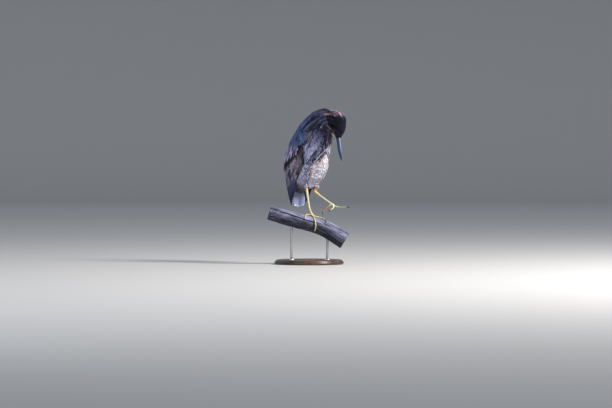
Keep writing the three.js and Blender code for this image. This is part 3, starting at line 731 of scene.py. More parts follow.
# %% Regions
WEDGE = np.array([  # the white breast: height, right and left edge in degrees from the front, left positive
    [92, -16, 16], [112, -22, 22], [130, -28, 30], [157, -30, 34], [181, -22, 35], [201, -8, 34],
    [221, 5, 31], [240, 9, 25], [256, 12, 17]])
CHEEK_LINE = np.array([[74, 26, 306], [81, 19, 292], [77, 5, 280], [71, 7, 266], [69, 8, 252], [62, 9, 240],
                       [60, 2, 228], [54, 12, 215], [47, 22, 201], [38, 31, 184]], float)  # forward, out, up
# painted shadow: a dark band along this line, where the hood plumes lie over the mantle
HOOD_SHADOW_LINE = np.array([[44, 34, 332], [34, 40, 320], [24, 44, 310], [15, 48, 299], [10, 50, 288]], float)
EYE_STREAK = np.array([[-10, 1], [-26, -9]])  # along the bill, towards the crown


def plumage(bird):
    """Dark colour, pale colour, share of pale feathers, feather length and feather width at each place."""
    forward, height, out = bird[:, 0], bird[:, 2], np.abs(bird[:, 1])
    angle = round_body(bird)
    signed = angle * np.where(bird[:, 1] < 0, -1, 1)
    along, _, crown = head_mm(bird).T
    head = in_head(bird)
    soft = 10 * blend(196, 150, height)
    right_edge, left_edge = (np.interp(height, WEDGE[:, 0], WEDGE[:, column]) for column in (1, 2))
    from_right, from_left = signed - right_edge, signed - left_edge
    white = blend(-2 - soft, 3, from_right) * blend(2, -3, from_left) * blend(256, 246, height)
    beside = np.where(signed < (right_edge + left_edge) / 2, -from_right, from_left)
    one_side = np.stack([forward, out, height], 1)
    cheek, from_hood_shadow = line_distance(one_side, CHEEK_LINE), line_distance(one_side, HOOD_SHADOW_LINE)
    cap_edge = np.interp(along, [-60, -30, -10, 2, 26], [-4, 1, 8, 9.5, 7])
    eye_streak = blend(3.2, 1.2, line_distance(np.stack([along, crown], 1), EYE_STREAK))
    hood_low = 214 + 0.3 * (forward - 10)
    lift = height + 0.1 * (forward - 100)
    regions = [  # mask, dark, pale, share of pale, length, width
        (1, (126, 126, 152), (184, 186, 212), 0.6, 26, 5.4),
        (blend(126, 108, height), (120, 118, 138), (186, 184, 202), 0.6, 20, 5.4),
        (blend(84, 100, angle), (54, 52, 72), (98, 94, 122), 0.35, 24, 7.5),
        (blend(hood_low - 30, hood_low + 10, height), (50, 48, 72), (132, 132, 168), 0.40, 24, 3.8),
        (band(166, 204, hood_low + 8, hood_low + 40, height) * blend(80, 64, angle),
         (60, 58, 84), (166, 170, 206), 0.44, 30, 4),
        (blend(268, 290, height), (40, 40, 62), (98, 98, 130), 0.36, 20, 3.4),
        (band(50, 58, 76, 84, angle) * band(254, 264, 284, 296, height),
         (44, 42, 58), (124, 124, 138), 0.3, 15, 4.4),
        (white, (184, 172, 178), (228, 218, 222), 0.72, 24, 5.4),
        (white * blend(196, 160, height), (164, 162, 180), (206, 204, 218), 0.66, 20, 5.4),
        (white * blend(130, 112, height), (164, 160, 176), (206, 202, 216), 0.6, 18, 5.2),
        (band(-2, 1, 7, 13, beside) * band(212, 196, 152, 136, height),
         (112, 92, 102), (218, 198, 202), 0.5, 20, 3.4),
        (band(-2.5, -0.5, 1.5, 3.5, beside) * blend(190, 204, height)
         * blend(262, 250, height), (40, 34, 46), (80, 74, 92), 0.2, 18, 3),
        (blend(2.4, 1, np.abs(signed - left_edge + 9)) * band(180, 190, 230, 240, height),
         (70, 52, 62), (150, 130, 136), 0.3, 18, 2.6),
        (band(66, 78, 140, 160, angle) * band(236, 252, 308, 324, height),
         (54, 66, 104), (104, 122, 170), 0.5, 26, 7),
        (blend(112, 102, height) * blend(-14, -6, forward), (146, 142, 158), (190, 186, 200), 0.6, 7.5, 2.8),
        (blend(2, -24, forward) * blend(124, 112, height), (70, 64, 74), (110, 104, 116), 0.45, 15, 4.6),
        (blend(322, 336, height) * blend(92, 78, forward), (44, 46, 70), (94, 98, 138), 0.40, 17, 3.2),
        (band(8, 13, 34, 44, signed) * band(240, 250, 282, 290, height),
         (34, 30, 44), (72, 68, 90), 0.3, 15, 3),
        # painted shadow along the edge of the hood plumes
        (blend(6.5, 2, from_hood_shadow) * (1 - head), (22, 24, 40), (52, 56, 84), 0.3, 18, 3.6),
        (head, (42, 41, 58), (112, 112, 140), 0.34, 6.8, 2.1),
        (head * blend(cap_edge - 2, cap_edge + 1, crown), (13, 12, 24), (42, 40, 62), 0.34, 11, 2),
        (head * blend(-26, -44, along) * blend(-4, -14, crown), (44, 44, 62), (92, 92, 120), 0.4, 15, 2.6),
        # painted light: the top of the crown is paler and pinkish, as if lit from above
        (blend(334, 341, lift) * blend(80, 96, forward), (38, 31, 43), (168, 140, 156), 0.44, 15, 2.3),
        (round_spot(bird * [1, 0, 1], [65, 0, 355], 10), (16, 18, 38), (36, 40, 66), 0.3, 15, 3),
        (head * eye_streak, (110, 110, 132), (190, 188, 206), 0.7, 6.8, 1.9),
        (head * blend(-9, -12, crown) * blend(6, 14, along), (128, 120, 112), (190, 180, 168), 0.5, 5, 1.8),
        (blend(8.5, 5.5, cheek) * (1 - head) * blend(176, 196, height),
         (34, 30, 46), (70, 66, 88), 0.3, 17, 3),
        (blend(3.4, 1.6, cheek) * (1 - head) * blend(176, 196, height),
         (120, 118, 146), (182, 182, 210), 0.75, 17, 2.6),
    ]
    values = np.zeros((len(bird), 9))
    for mask, dark, pale, share, length, width in regions:
        row = np.concatenate([linear(*dark), linear(*pale), [share, length, width]])
        values = mix(values, row, np.broadcast_to(mask, len(bird))[:, None])
    return values[:, :3], values[:, 3:6], values[:, 6], values[:, 7], values[:, 8]

# %% [markdown]
# ## Planting the roots
# Feather roots sit about evenly on the skin, closer together where the feathers are small. Many places are
# drawn at random on the skin, and each one that is kept clears its neighbours from a circle round it.

# %% Roots
random = np.random.default_rng(7)


def feathered(bird):
    """True where feathers grow: not on the lores, lids and legs, nor under the wings."""
    lowest = np.where(bird[:, 0] < -16, 72, 101)
    under_rump = (round_body(bird) > 98) & (bird[:, 2] < 124)
    return (bird[:, 2] > lowest) & (bare_face(bird) < 0.4) & (under_wing(bird) < 0.5) & ~under_rump


def scatter(surface, count):
    """Random places on a surface, closer together where feathers are small."""
    a, b, c = np.moveaxis(surface.points[surface.faces], 1, 0)
    middle = bird_mm((a + b + c) / 3)
    length, width = plumage(middle)[3:]
    weight = np.linalg.norm(np.cross(b - a, c - a), axis=1) / (length * width) * feathered(middle)
    face = random.choice(len(weight), count, p=weight / weight.sum())
    u, v = random.random((2, count, 1))
    flip = (u + v) > 1
    u, v = np.where(flip, 1 - u, u), np.where(flip, 1 - v, v)
    return a[face] + (b[face] - a[face]) * u + (c[face] - a[face]) * v


def thin_out(places, clearance):
    """The indices of places kept when each kept one clears a circle round it."""
    tree = kdtree.KDTree(len(places))
    for index, place in enumerate(places.tolist()):
        tree.insert(place, index)
    tree.balance()
    free, kept = np.ones(len(places), bool), []
    for index, (place, radius) in enumerate(zip(places.tolist(), clearance.tolist())):
        if free[index]:
            kept.append(index)
            for _, other, _ in tree.find_range(place, radius):
                free[other] = False
    return np.array(kept)


OVERLAP, TRIES = 19, 300000  # how many feathers lie over one another, and how many places are drawn
SPACING = 0.00082  # metres between roots for each millimetre of a feather's own size
places = scatter(hide, TRIES)
places = places[feathered(bird_mm(places))]
lengths, widths = plumage(bird_mm(places))[3:]
kept = thin_out(places, np.sqrt(lengths * widths / OVERLAP) * SPACING)
roots = places[kept]
print("feather roots", len(roots))

# %% [markdown]
# ## Growing the vanes
# A feather starts steeply in the skin and then lies along the body, over the roots of the next ones, so
# only its outer part shows. Each shaft walks over the skin in short steps, combed at every step, and rises
# from the skin to the top of the coat. A thin closed vane is then laid round the shaft: a flat diamond in
# section, a little hollow below, with uneven edges and a narrow tip, as loose barbs leave it.

# %% Walk of the shafts
def full_turn(count):
    """Angles that share out one full turn."""
    return np.linspace(0, 2 * math.pi, count, endpoint=False)


def unit(vectors):
    return vectors / np.maximum(np.linalg.norm(vectors, axis=-1, keepdims=True), 1e-12)


EASE = 0.75  # how far a shaft keeps its own way at each step


def walk(surface, start, length, steps, sway):
    """Shaft places and normals on a surface, one row for each step, combed on the way."""
    place, normal, face = surface.nearest(start)
    way = lie(bird_mm(place), normal)
    way = way * np.cos(sway)[:, None] + np.cross(normal, way) * np.sin(sway)[:, None]
    places, normals = [place], [normal]
    for _ in range(steps):
        place, normal, _ = surface.nearest(place + way * (length / steps)[:, None])
        combed = lie(bird_mm(place), normal)
        way = unit(way * EASE + combed * (1 - EASE))
        way = unit(way - (way * normal).sum(axis=1, keepdims=True) * normal)
        places.append(place)
        normals.append(normal)
    return np.stack(places, 1), np.stack(normals, 1), surface.map_at(places[0], face)

# %% Closed vanes
DIAMOND = np.array([[-1, 0], [0, 1], [1, 0], [0, -1]], float)  # a section: shares of the width and thickness


def lay_vanes(places, normals, rise, width, thickness, profile, section=DIAMOND, camber=0.14, roll=0,
              ragged=0, slant=0):
    """Corner places of closed vanes along shafts. A section goes round each row of a shaft."""
    shaft = places + normals * rise[..., None]
    along = unit(np.gradient(shaft, axis=1))
    side = unit(np.cross(normals, along))
    up = np.cross(along, side)
    turn = np.broadcast_to(np.asarray(roll, float).reshape(-1, 1, 1), side.shape)
    side, up = side * np.cos(turn) + up * np.sin(turn), up * np.cos(turn) - side * np.sin(turn)
    half = np.asarray(width)[:, None] / 2 * np.asarray(profile)
    across = section[:, 0]
    torn = 1 - ragged * random.random((*half.shape, 2))
    reach = np.where(across < 0, torn[..., :1], torn[..., 1:]) * across
    lag = -slant * np.abs(across)
    corners = (
        shaft[:, :, None]
        + side[:, :, None] * (half[..., None] * reach)[..., None]
        + up[:, :, None] * (np.asarray(thickness) / 2 * section[:, 1]
                            - camber * half[..., None] * reach**2)[..., None]
        + along[:, :, None] * (half[..., None] * lag)[..., None]
    )
    return corners


def closed_net(rows, ring):
    """Faces of a closed tube: quads between its rows of corners, and a band of quads over each end."""
    j, k = np.meshgrid(np.arange(rows - 1), np.arange(ring), indexing="ij")
    this, ahead = j * ring + k, j * ring + (k + 1) % ring
    sides = np.stack([this, ahead, ahead + ring, this + ring], -1).reshape(-1, 4)
    caps = [[first + low, first + low + 1, first + ring - 2 - low, first + ring - 1 - low][::way]
            for first, way in ((0, -1), ((rows - 1) * ring, 1)) for low in range((ring - 2) // 2)]
    return np.concatenate([sides, np.array(caps)])


def poled_net(rows, ring):
    """Triangles of a closed round form: rows of corners, then one corner for its first and its last end."""
    j, k = np.meshgrid(np.arange(rows - 1), np.arange(ring), indexing="ij")
    this, ahead = j * ring + k, j * ring + (k + 1) % ring
    sides = np.stack([this, ahead, ahead + ring, this, ahead + ring, this + ring], -1).reshape(-1, 3)
    k = np.arange(ring)
    nxt, last, first_end = (k + 1) % ring, (rows - 1) * ring, np.full(ring, rows * ring)
    caps = np.stack([first_end, nxt, k, first_end + 1, last + k, last + nxt], -1).reshape(-1, 3)
    return np.concatenate([sides, caps])


def vane_faces(count, rows, ring):
    """Faces of many closed vanes."""
    one = closed_net(rows, ring)[:, ::-1]
    return (one[None] + (np.arange(count) * rows * ring)[:, None, None]).reshape(-1, 4)


def face_outward(made):
    """Turns the faces of a closed mesh outwards."""
    with edited(made.data) as work:
        bmesh.ops.recalc_face_normals(work, faces=work.faces)
    return made

# %% Pieces from arrays
def make_piece(name, corners, faces, material, colours, maps):
    """A mesh object from arrays. colours are point attributes, and maps are UV places for each corner."""
    mesh = bpy.data.meshes.new(name)
    corners, faces = corners.reshape(-1, 3), np.asarray(faces, np.int32)
    mesh.vertices.add(len(corners))
    mesh.vertices.foreach_set("co", corners.astype(np.float32).ravel())
    mesh.loops.add(faces.size)
    mesh.loops.foreach_set("vertex_index", faces.ravel())
    mesh.polygons.add(len(faces))
    mesh.polygons.foreach_set("loop_start", np.arange(0, faces.size, faces.shape[1], dtype=np.int32))
    mesh.polygons.foreach_set("use_smooth", np.full(len(faces), True))
    for label, values in colours.items():
        layer = mesh.color_attributes.new(label, "FLOAT_COLOR", "POINT")
        layer.data.foreach_set("color", values.reshape(-1, 4).astype(np.float32).ravel())
    for label, places in maps.items():
        layer = mesh.uv_layers.new(name=label)
        layer.uv.foreach_set("vector", places.reshape(-1, 2)[faces.ravel()].astype(np.float32).ravel())
    mesh.update(calc_edges=True)
    mesh.validate()
    mesh.materials.append(material)
    made = placed(name, mesh)
    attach(made, "root")
    return made


PATCH = 0.003  # the size of one feather's patch on the unwrap of the skin


def feather_piece(name, corners, root_map, section, material, ground, mark, strength, along=None):
    """A coat piece from laid vanes, with their colours and their two maps."""
    count, rows, ring = corners.shape[:3]
    along = np.linspace(0, 1, rows) if along is None else along
    v = np.broadcast_to(along[None, :, None], (count, rows, ring))
    u = np.broadcast_to((section[:, 0] / 2 + 0.5)[None, None], (count, rows, ring))
    vane = np.stack([u, v], -1)
    patch = root_map[:, None, None] + (vane - 0.5) * PATCH
    if ground.ndim == 2:
        ground, mark = ground[:, None, None], mark[:, None, None]
    colours = {}
    for label, colour, alpha in (("ground", ground, np.ones(count)), ("mark", mark, strength)):
        colour = np.broadcast_to(colour, (count, rows, ring, 3))
        alpha = np.broadcast_to(alpha[:, None, None, None], (count, rows, ring, 1))
        colours[label] = np.concatenate([colour, alpha], -1)
    faces = vane_faces(count, rows, ring)
    made = make_piece(name, corners, faces, material, colours, {"Vane": vane, "OFBake": patch})
    first, second = (pulled(made.data.edges, "vertices", 2, np.int32) % ring).T
    rim = (first == second) & np.isin(first, np.flatnonzero(np.abs(section[:, 0]) == 1))
    made.data.attributes.new("sharp_edge", "BOOLEAN", "EDGE").data.foreach_set("value", rim)
    print(f"{name}: {count} feathers, {len(made.data.polygons) * 2} triangles")
    return made

# %% [markdown]
# ## The look of a vane
# Every coat uses one node group. It reads the ground and mark colours that each feather carries, and the
# map along and across the vane. It lays the mark on as a streak along the shaft, as a spot at the tip or
# along the edges, darkens the shaft line, and breaks the vane into fine slanting barbs, as colour and as
# height.

# %% Node group of a feather vane
def vane_group():
    """The node group: colour and barb height from a vane's colours and its map."""
    group = bpy.data.node_groups.new("feather_vane", "ShaderNodeTree")
    sizes = {"Streak Width": 0.35, "Streak": 1, "Tip Length": 0.2, "Tip": 0, "Edge": 0, "Barbs": 36,
             "Barb Contrast": 0.18}
    for label, value in sizes.items():
        group.interface.new_socket(label, in_out="INPUT", socket_type="NodeSocketFloat").default_value = value
    group.interface.new_socket("Color", in_out="OUTPUT", socket_type="NodeSocketColor")
    group.interface.new_socket("Height", in_out="OUTPUT", socket_type="NodeSocketFloat")
    entry = group.nodes.new("NodeGroupInput").outputs
    leave = group.nodes.new("NodeGroupOutput")

    def maths(operation, first, second=0):
        return put(group, "Math", {0: first, 1: second}, operation=operation).outputs[0]

    def times(first, second):
        return maths("MULTIPLY", first, second)

    def less(first, second):
        return maths("SUBTRACT", first, second)

    def step(value, low, high):
        ends = {"Value": value, "From Min": low, "From Max": high}
        return put(group, "MapRange", ends, interpolation_type="SMOOTHSTEP").outputs["Result"]

    ground = put(group, "Attribute", attribute_name="ground").outputs
    mark = put(group, "Attribute", attribute_name="mark").outputs
    place = put(group, "UVMap", uv_map="Vane").outputs["UV"]
    split = put(group, "SeparateXYZ", {"Vector": place}).outputs
    across = maths("ABSOLUTE", less(times(split["X"], 2), 1))
    along = split["Y"]
    narrowing = times(entry["Streak Width"], less(1.25, times(along, 0.7)))
    streak = times(step(across, narrowing, times(narrowing, 0.35)), entry["Streak"])
    tip_start = maths("ADD", less(1, entry["Tip Length"]), times(across, entry["Tip Length"]))
    tip = times(step(along, tip_start, maths("ADD", tip_start, 0.06)), entry["Tip"])
    edge = times(step(across, 0.66, 0.92), entry["Edge"])
    shown = times(maths("MAXIMUM", maths("MAXIMUM", streak, tip), edge), mark["Alpha"])
    painted = put(group, "Mix", {"Factor": shown, "A": ground["Color"], "B": mark["Color"]}, data_type="RGBA")
    slope = less(along, times(across, 0.22))
    fine = noise(group, place, 7, 3)
    phase = maths("ADD", times(slope, entry["Barbs"]), times(fine, 2.2))
    barbs = maths("ADD", times(maths("SINE", times(phase, 2 * math.pi)), 0.5), 0.5)
    shaft = step(across, 0.10, 0.03)
    shade = less(1, times(entry["Barb Contrast"], less(1, barbs)))
    shade = times(shade, less(1, times(shaft, 0.22)))
    worn = maths("ADD", 0.86, times(fine, 0.28))
    grey = put(group, "CombineColor")
    for channel in ("Red", "Green", "Blue"):
        group.links.new(times(shade, worn), grey.inputs[channel])
    coloured = multiplied(group, painted.outputs["Result"], grey.outputs["Color"])
    group.links.new(coloured, leave.inputs["Color"])
    group.links.new(maths("ADD", times(barbs, 0.5), shaft), leave.inputs["Height"])
    return group


VANE_GROUP = vane_group()

# %% Feather finish
def feather_material(name, roughness=0.62, specular=0.2, bump=0.5, **sizes):
    """A feather finish with its own sizes for streaks, tips and barbs."""
    made, tree = new_material(name)
    vane = put(tree, "Group", node_tree=VANE_GROUP)
    for label, value in sizes.items():
        vane.inputs[label.replace("_", " ").title()].default_value = value
    principled(tree, {
        "Base Color": vane.outputs["Color"], "Roughness": roughness, "Specular IOR Level": specular,
        "Normal": bumps(tree, vane.outputs["Height"], bump, 0.0004)})
    return made

# %% [markdown]
# ## The coat of the body
# The body feathers are grown in a few pieces: crown, face, neck, breast, flanks and back. Pale strands
# stand a little higher than dark ones, so light and shade part them too. Each feather gets its own sway,
# length and tilt, because a coat without them looks like tiles.

# %% Body coats
crown_look = feather_material("crown_feathers", roughness=0.55, specular=0.12, streak_width=0.4, streak=0.4,
                              barbs=22)
neck_look = feather_material("neck_plumes", streak_width=0.35, streak=0.5, barbs=34, barb_contrast=0.3)
breast_look = feather_material("breast_feathers", streak_width=0.35, streak=0.4, barbs=40,
                               barb_contrast=0.2)
back_look = feather_material("back_feathers", streak_width=0.25, streak=0.4, edge=0.5, barbs=40)
root_mm = bird_mm(roots)
angles = round_body(root_mm)
in_face = in_head(root_mm) > 0.5
on_cap = head_mm(root_mm)[:, 2] > 7
is_left = root_mm[:, 1] > 0
zone = np.select(
    [in_face & on_cap, in_face, root_mm[:, 2] > 246, angles < 34, angles < 84],
    ["coat_crown", "coat_face", "coat_neck", "coat_breast", "coat_flank"], "coat_back")
COATS = {  # piece: rows along each vane, finish, slot, how loosely the tips stand
    "coat_crown": (5, crown_look, "plumage_head", 0.4), "coat_face": (5, neck_look, "plumage_head", 0.1),
    "coat_neck": (6, neck_look, "plumage_neck", 0.14), "coat_breast": (6, breast_look, "plumage_body", 0.12),
    "coat_flank": (6, neck_look, "plumage_body", 0.12), "coat_back": (6, back_look, "plumage_body", 0.08)}


def crowded(rows):
    """Places of rows along a vane, closer together towards a round tip."""
    return 1 - (1 - np.linspace(0, 1, rows)) ** 1.5


def vane_profile(share, root=0.22, tip=0.35, widest=0.55, blunt=0.7):
    """Share of the full width at each place along a vane."""
    rising = root + (1 - root) * np.sin(np.clip(share / widest, 0, 1) * math.pi / 2)
    falling = tip + (1 - tip) * np.cos(np.clip((share - widest) / (1 - widest), 0, 1) * math.pi / 2) ** blunt
    return np.where(share < widest, rising, falling)


SHOWN = 0.6  # how far along a vane the middle of its open part is

# %% Strands
def strands(surface, start, reach=24, steps=6, cell=4.2, seed=5):
    """Noise from 0 to 1 in long strands: a fine noise, averaged on a walk along the lie."""
    total = np.zeros(len(start))
    for way in (1, -1):
        place, normal, _ = surface.nearest(start)
        for _ in range(steps):
            total += soft_noise(bird_mm(place), cell, seed)
            onward = way * lie(bird_mm(place), normal) * reach / steps / 1000
            place, normal, _ = surface.nearest(place + onward)
    return total.argsort().argsort() / len(total)


strand_of_root = strands(hide, roots)

# %% Growing one piece
def grow_coat(name, chosen, rows, material, looseness):
    """One coat piece of feathers from the chosen roots."""
    start, bird = roots[chosen], root_mm[chosen]
    length, width = plumage(bird)[3:]
    count = len(start)
    along, _, crown = head_mm(bird).T
    by_eye = blend(17, 8, from_eye(along, crown)) * in_head(bird)
    by_leg = blend(112, 100, bird[:, 2]) * blend(-34, -18, bird[:, 0])
    length = length * (1 - 0.5 * by_eye) * (1 - 0.4 * by_leg) * random.uniform(0.75, 1.2, count) / 1000
    width = width * random.uniform(0.7, 1.15, count) / 1000
    shaft, normals, root_map = walk(hide, start, length, rows - 1, random.normal(0, 0.14, count))
    dark, pale, pale_share = plumage(bird_mm(shaft[:, round(SHOWN * (rows - 1))]))[:3]
    strand = strand_of_root[chosen]
    paleness = blend(0.32, 0.68, strand + pale_share - 0.5 + random.normal(0, 0.13, count))[:, None]
    share = np.linspace(0, 1, rows)
    shaft_mm = bird_mm(shaft.reshape(-1, 3))
    covered = np.maximum(0.6 * under_wing(shaft_mm), 0.55 * slit(shaft_mm)).reshape(count, rows)
    top = coat_depth(bird) / 1000 * (0.74 + 0.34 * strand + random.uniform(-0.1, looseness, count))
    rise = 0.0002 + top[:, None] * (1 - (1 - share) ** 1.8) * (1 - covered)
    corners = lay_vanes(shaft, normals, rise, width, 0.00035, vane_profile(share, tip=0.2, widest=0.5),
                        roll=random.normal(0, 0.12, count), ragged=0.22, slant=0.35)
    tint = random.normal(1, 0.08, (count, 1)) * random.normal(1, 0.02, (count, 3))
    # Painted shade: the colours darken towards each vane's covered root, and strongly in the slit in front of
    # the wing.
    slit_shade = 1 - 0.75 * slit(shaft_mm).reshape(count, rows)
    shade = ((0.6 + 0.4 * blend(0, 0.5, share)) * slit_shade)[..., None, None]
    ground = (mix(dark, pale, paleness) * tint)[:, None, None] * shade
    mark = (pale * tint)[:, None, None] * shade
    strength = np.clip(0.15 + 0.6 * paleness[:, 0], 0, 1) * random.uniform(0.4, 1.2, count)
    made = feather_piece(name, corners, root_map, DIAMOND, material, ground, mark, np.clip(strength, 0, 1))
    return made


for name, (rows, material, slot, looseness) in COATS.items():
    for side, of_side in (("right", ~is_left), ("left", is_left)):
        grow_coat(f"{name}_{side}", (zone == name) & of_side, rows, material, looseness)

# %% [markdown]
# ## Colour of the skin
# The skin shows on the lores, lids and legs, and between the feathers, where its colour is painted shade.
# Its markings come from the same function as the coat's, darkened as painted shade, and the bare parts are
# painted on top. The shanks are greenish straw, and orange where the scales are stretched at the ankles and
# the hind toe.

# %% Skin colours
points = bird_mm(mesh_points(skin.data))
# painted shade: the plumage's dark colour at a third of its strength, for the skin seen between feathers
ground = plumage(points)[0] * 0.35
bare = bare_face(points)[:, None]
along, _, crown = head_mm(points).T
lore = linear(172, 184, 156) * (0.75 + 0.25 * blend(-6, 6, crown))[:, None]
ground = mix(ground, lore, bare)
lid = (blend(8.4, 7.4, from_eye(along, crown)) * in_head(points))[:, None]
ground = mix(ground, linear(92, 96, 84), lid)
leg = (blend(100, 92, points[:, 2]) * blend(-22, -14, points[:, 0]))[:, None]
shank = mix(linear(190, 185, 148), linear(178, 167, 114), blend(34, 14, points[:, 2])[:, None])
LEG_SPOTS = [  # strength, middle, size, colour: the raised ankle, the standing one, and the raised hind toe
    (1, [-7, 18.5, 86], 13, (236, 170, 54)), (0.85, [-6, -24, 90], 11, (214, 168, 62)),
    (0.95, [40, 26, 26], 11, (206, 92, 34))]
for strength, centre, size, colour in LEG_SPOTS:
    shank = mix(shank, linear(*colour), strength * round_spot(points, centre, size)[:, None])
ground = mix(ground, shank, leg)
layer = skin.data.color_attributes.new("ground", "FLOAT_COLOR", "POINT")
layer.data.foreach_set("color", np.concatenate([ground, leg], 1).astype(np.float32).ravel())

# %% Skin finish
skin_look, tree = new_material("bare_skin")
tone = put(tree, "Attribute", attribute_name="ground").outputs
coords = put(tree, "TexCoord").outputs["Object"]
pores = put(tree, "TexVoronoi", {"Vector": coords, "Scale": 1500}).outputs["Distance"]
patches = noise(tree, coords, 240, 5)
mottled = multiplied(tree, tone["Color"], ranged(tree, patches, 0.25, 0.75, 0.78, 1.18))
plates = put(tree, "TexVoronoi", {"Vector": coords, "Scale": 620}, feature="DISTANCE_TO_EDGE")
seams = ranged(tree, plates.outputs["Distance"], 0, 0.12)
scales = put(tree, "Mix", {"Factor": tone["Alpha"], "A": pores, "B": seams}).outputs["Result"]
principled(tree, {"Base Color": mottled, "Roughness": 0.5, "Specular IOR Level": 0.4,
                  "Normal": bumps(tree, scales, 0.3, 0.0003)})
skin.data.materials.clear()
skin.data.materials.append(skin_look)

# %% [markdown]
# ## Folded wings
# A folded wing is a stack of feather rows, each row lying over the bases of the next one down: scapulars
# from the shoulder, then lesser, median and greater coverts, then the long secondaries and the primaries of
# the wing tip. Each row is set out here by where its roots and tips lie, as a share of the wing's width and
# as a height, and its depth under the top of the coat. The feathers follow the rounded side of the body.

# %% Smooth tables of the body and the wing
def smooth_table(rows):
    """Rows of [place, value, ...] as a smooth function from places to values."""
    x, y = np.array(rows, float)[:, 0], np.array(rows, float)[:, 1:]
    slopes = np.gradient(y, x, axis=0)

    def at(places):
        places = np.clip(places, x[0], x[-1])
        i = np.clip(np.searchsorted(x, places) - 1, 0, len(x) - 2)
        step = (x[i + 1] - x[i])[..., None]
        t = (places[..., None] - x[i][..., None]) / step
        t2, t3 = t * t, t * t * t
        return ((2 * t3 - 3 * t2 + 1) * y[i] + (t3 - 2 * t2 + t) * slopes[i] * step
                + (3 * t2 - 2 * t3) * y[i + 1] + (t3 - t2) * slopes[i + 1] * step)

    return at


side_form = smooth_table([  # height, back, front and half width: narrower than the body at the wing tips
    [24, -86, -60, 25], [54, -89, -38, 40], [88, -99, -18, 50], *OUTLINE[2:]])
wing_edges = smooth_table([  # height, degrees round the body of the wing's front and back edge
    [22, 84, 118], [40, 70, 136], [56, 64, 146], [90, 59, 160], [104, 71, 168], [116, 78, 173],
    [133, 75, 176], [150, 71, 177], [164, 68, 178], [178, 64, 178], [215, 72, 178], [245, 81, 177],
    [300, 98, 174]])


def on_side(angle, height, sign):
    """Places on the rounded side of the body in millimetres, and the normals there."""
    def place(angle, height):
        back, front, half_width = np.moveaxis(side_form(height), -1, 0)
        turn = np.radians(angle)
        forward = (back + front) / 2 + (front - back) / 2 * np.cos(turn)
        return np.stack([forward, sign * half_width * np.sin(turn), height], -1)

    here = place(angle, height)
    around, upward = place(angle + 0.5, height) - here, place(angle, height + 0.5) - here
    return here, unit(np.cross(around, upward) * sign)


FLIGHT = np.array([  # the section of a long feather, with its shaft along the top
    [-1, 0], [-0.55, 0.7], [-0.1, 1], [0, 1.9], [0.1, 1], [0.55, 0.7], [1, 0], [0.55, -0.7], [0, -1],
    [-0.55, -0.7]])

# %% Rows of wing feathers
def between(front, back):
    """A rule that runs from a value at the wing's front edge to one at its back edge."""
    return lambda share: np.outer(1 - share, front) + np.outer(share, back)


def feather_row(side, columns, root, tip, depth, width, thickness, paint, mark, spots, rows=8, loose=1,
                tip_lift=0, shade=None):
    """Corners, colours and map places of one row of wing feathers.

    root and tip give where a feather at a share of the wing's width starts and ends: share and height."""
    sign = SIDES[side]
    share = np.clip(np.linspace(0, 1, columns) + random.normal(0, 0.18 / columns, columns) * loose, 0, 1)
    start, end = root(share), tip(share)
    start[:, 1] += random.normal(0, 1.2, columns) * loose
    end[:, 1] += random.normal(0, 1.8, columns) * loose
    end[:, 0] += random.normal(0, 0.018, columns) * loose
    t = crowded(rows)
    place = start[:, None] * (1 - t)[None, :, None] + end[:, None] * t[None, :, None]
    height = place[..., 1]
    front, back = np.moveaxis(wing_edges(height), -1, 0)
    shaft, normals = on_side(front + (back - front) * place[..., 0], height, sign)
    rise = -(depth[0] * (1 - t) ** 0.8 + depth[1] * (1 - (1 - t) ** 0.8))[None] * np.ones((columns, 1))
    rise = rise + random.normal(0, 0.25, (columns, 1)) * t * loose + tip_lift * t**3
    section = FLIGHT * [sign, 1]
    widths = np.linspace(*width, columns) * random.uniform(0.9, 1.08, columns) / 1000
    corners = lay_vanes(scene_m(shaft), normals, rise / 1000, widths, thickness / 1000,
                        vane_profile(t, 0.35, 0.16, 0.6, 0.42), section=section, camber=0.10,
                        roll=sign * 0.06 + random.normal(0, 0.04, columns) * loose, ragged=0.14, slant=0.55)
    tint = random.normal(1, 0.08, (columns, 1)) * random.normal(1, 0.015, (columns, 3))
    ground = paint(shaft, np.broadcast_to(t, height.shape)) * tint[:, None]
    mark = np.broadcast_to(linear(*mark), ground.shape) * tint[:, None]
    # painted shade from the row's shade painter darkens both colours
    if shade is not None:
        painted_shade = shade(shaft, np.broadcast_to(t, height.shape))
        ground, mark = ground * painted_shade, mark * painted_shade
    strength = np.clip(spots * (0.1 + 1.2 * random.random(columns) ** 1.3), 0, 1)
    return dict(corners=corners, ground=ground[:, :, None], mark=mark[:, :, None], strength=strength,
                root=scene_m(shaft[:, 0]), section=section, along=t)

# %% Painters for the wing
def vane_shade(along, start=0.1, end=0.6, least=0.6):
    """Painted shade: darker in the covered part near the root, where the feathers above lie over it."""
    return least + (1 - least) * blend(start, end, along)


def shade_of(*stops):
    """A painter that runs through colours along the vane, with painted shade that darkens the covered part
    near the root.
    """
    channels = np.array([linear(*stop) for stop in stops]).T
    stops_at = np.linspace(0, 1, len(stops))

    def paint(_, along):
        colour = np.stack([np.interp(along, stops_at, channel) for channel in channels], -1)
        return colour * vane_shade(along)[..., None]

    return paint


SCAPULAR_TIPS = np.array([  # degrees round the body, height
    [72, 254], [78, 236], [84, 213], [100, 190], [114, 181], [137, 159], [172, 148]])


def tips_height(angle):
    """How high the tips of the lowest scapulars lie."""
    return np.interp(angle, SCAPULAR_TIPS[:, 0], SCAPULAR_TIPS[:, 1])


def scapular_tips(rise):
    """Where one row of scapulars ends: along the line of the tips, a little higher."""
    return lambda share: np.column_stack([
        share * 0.98, tips_height(70 + 104 * share) + rise * (1 - 0.25 * share)])


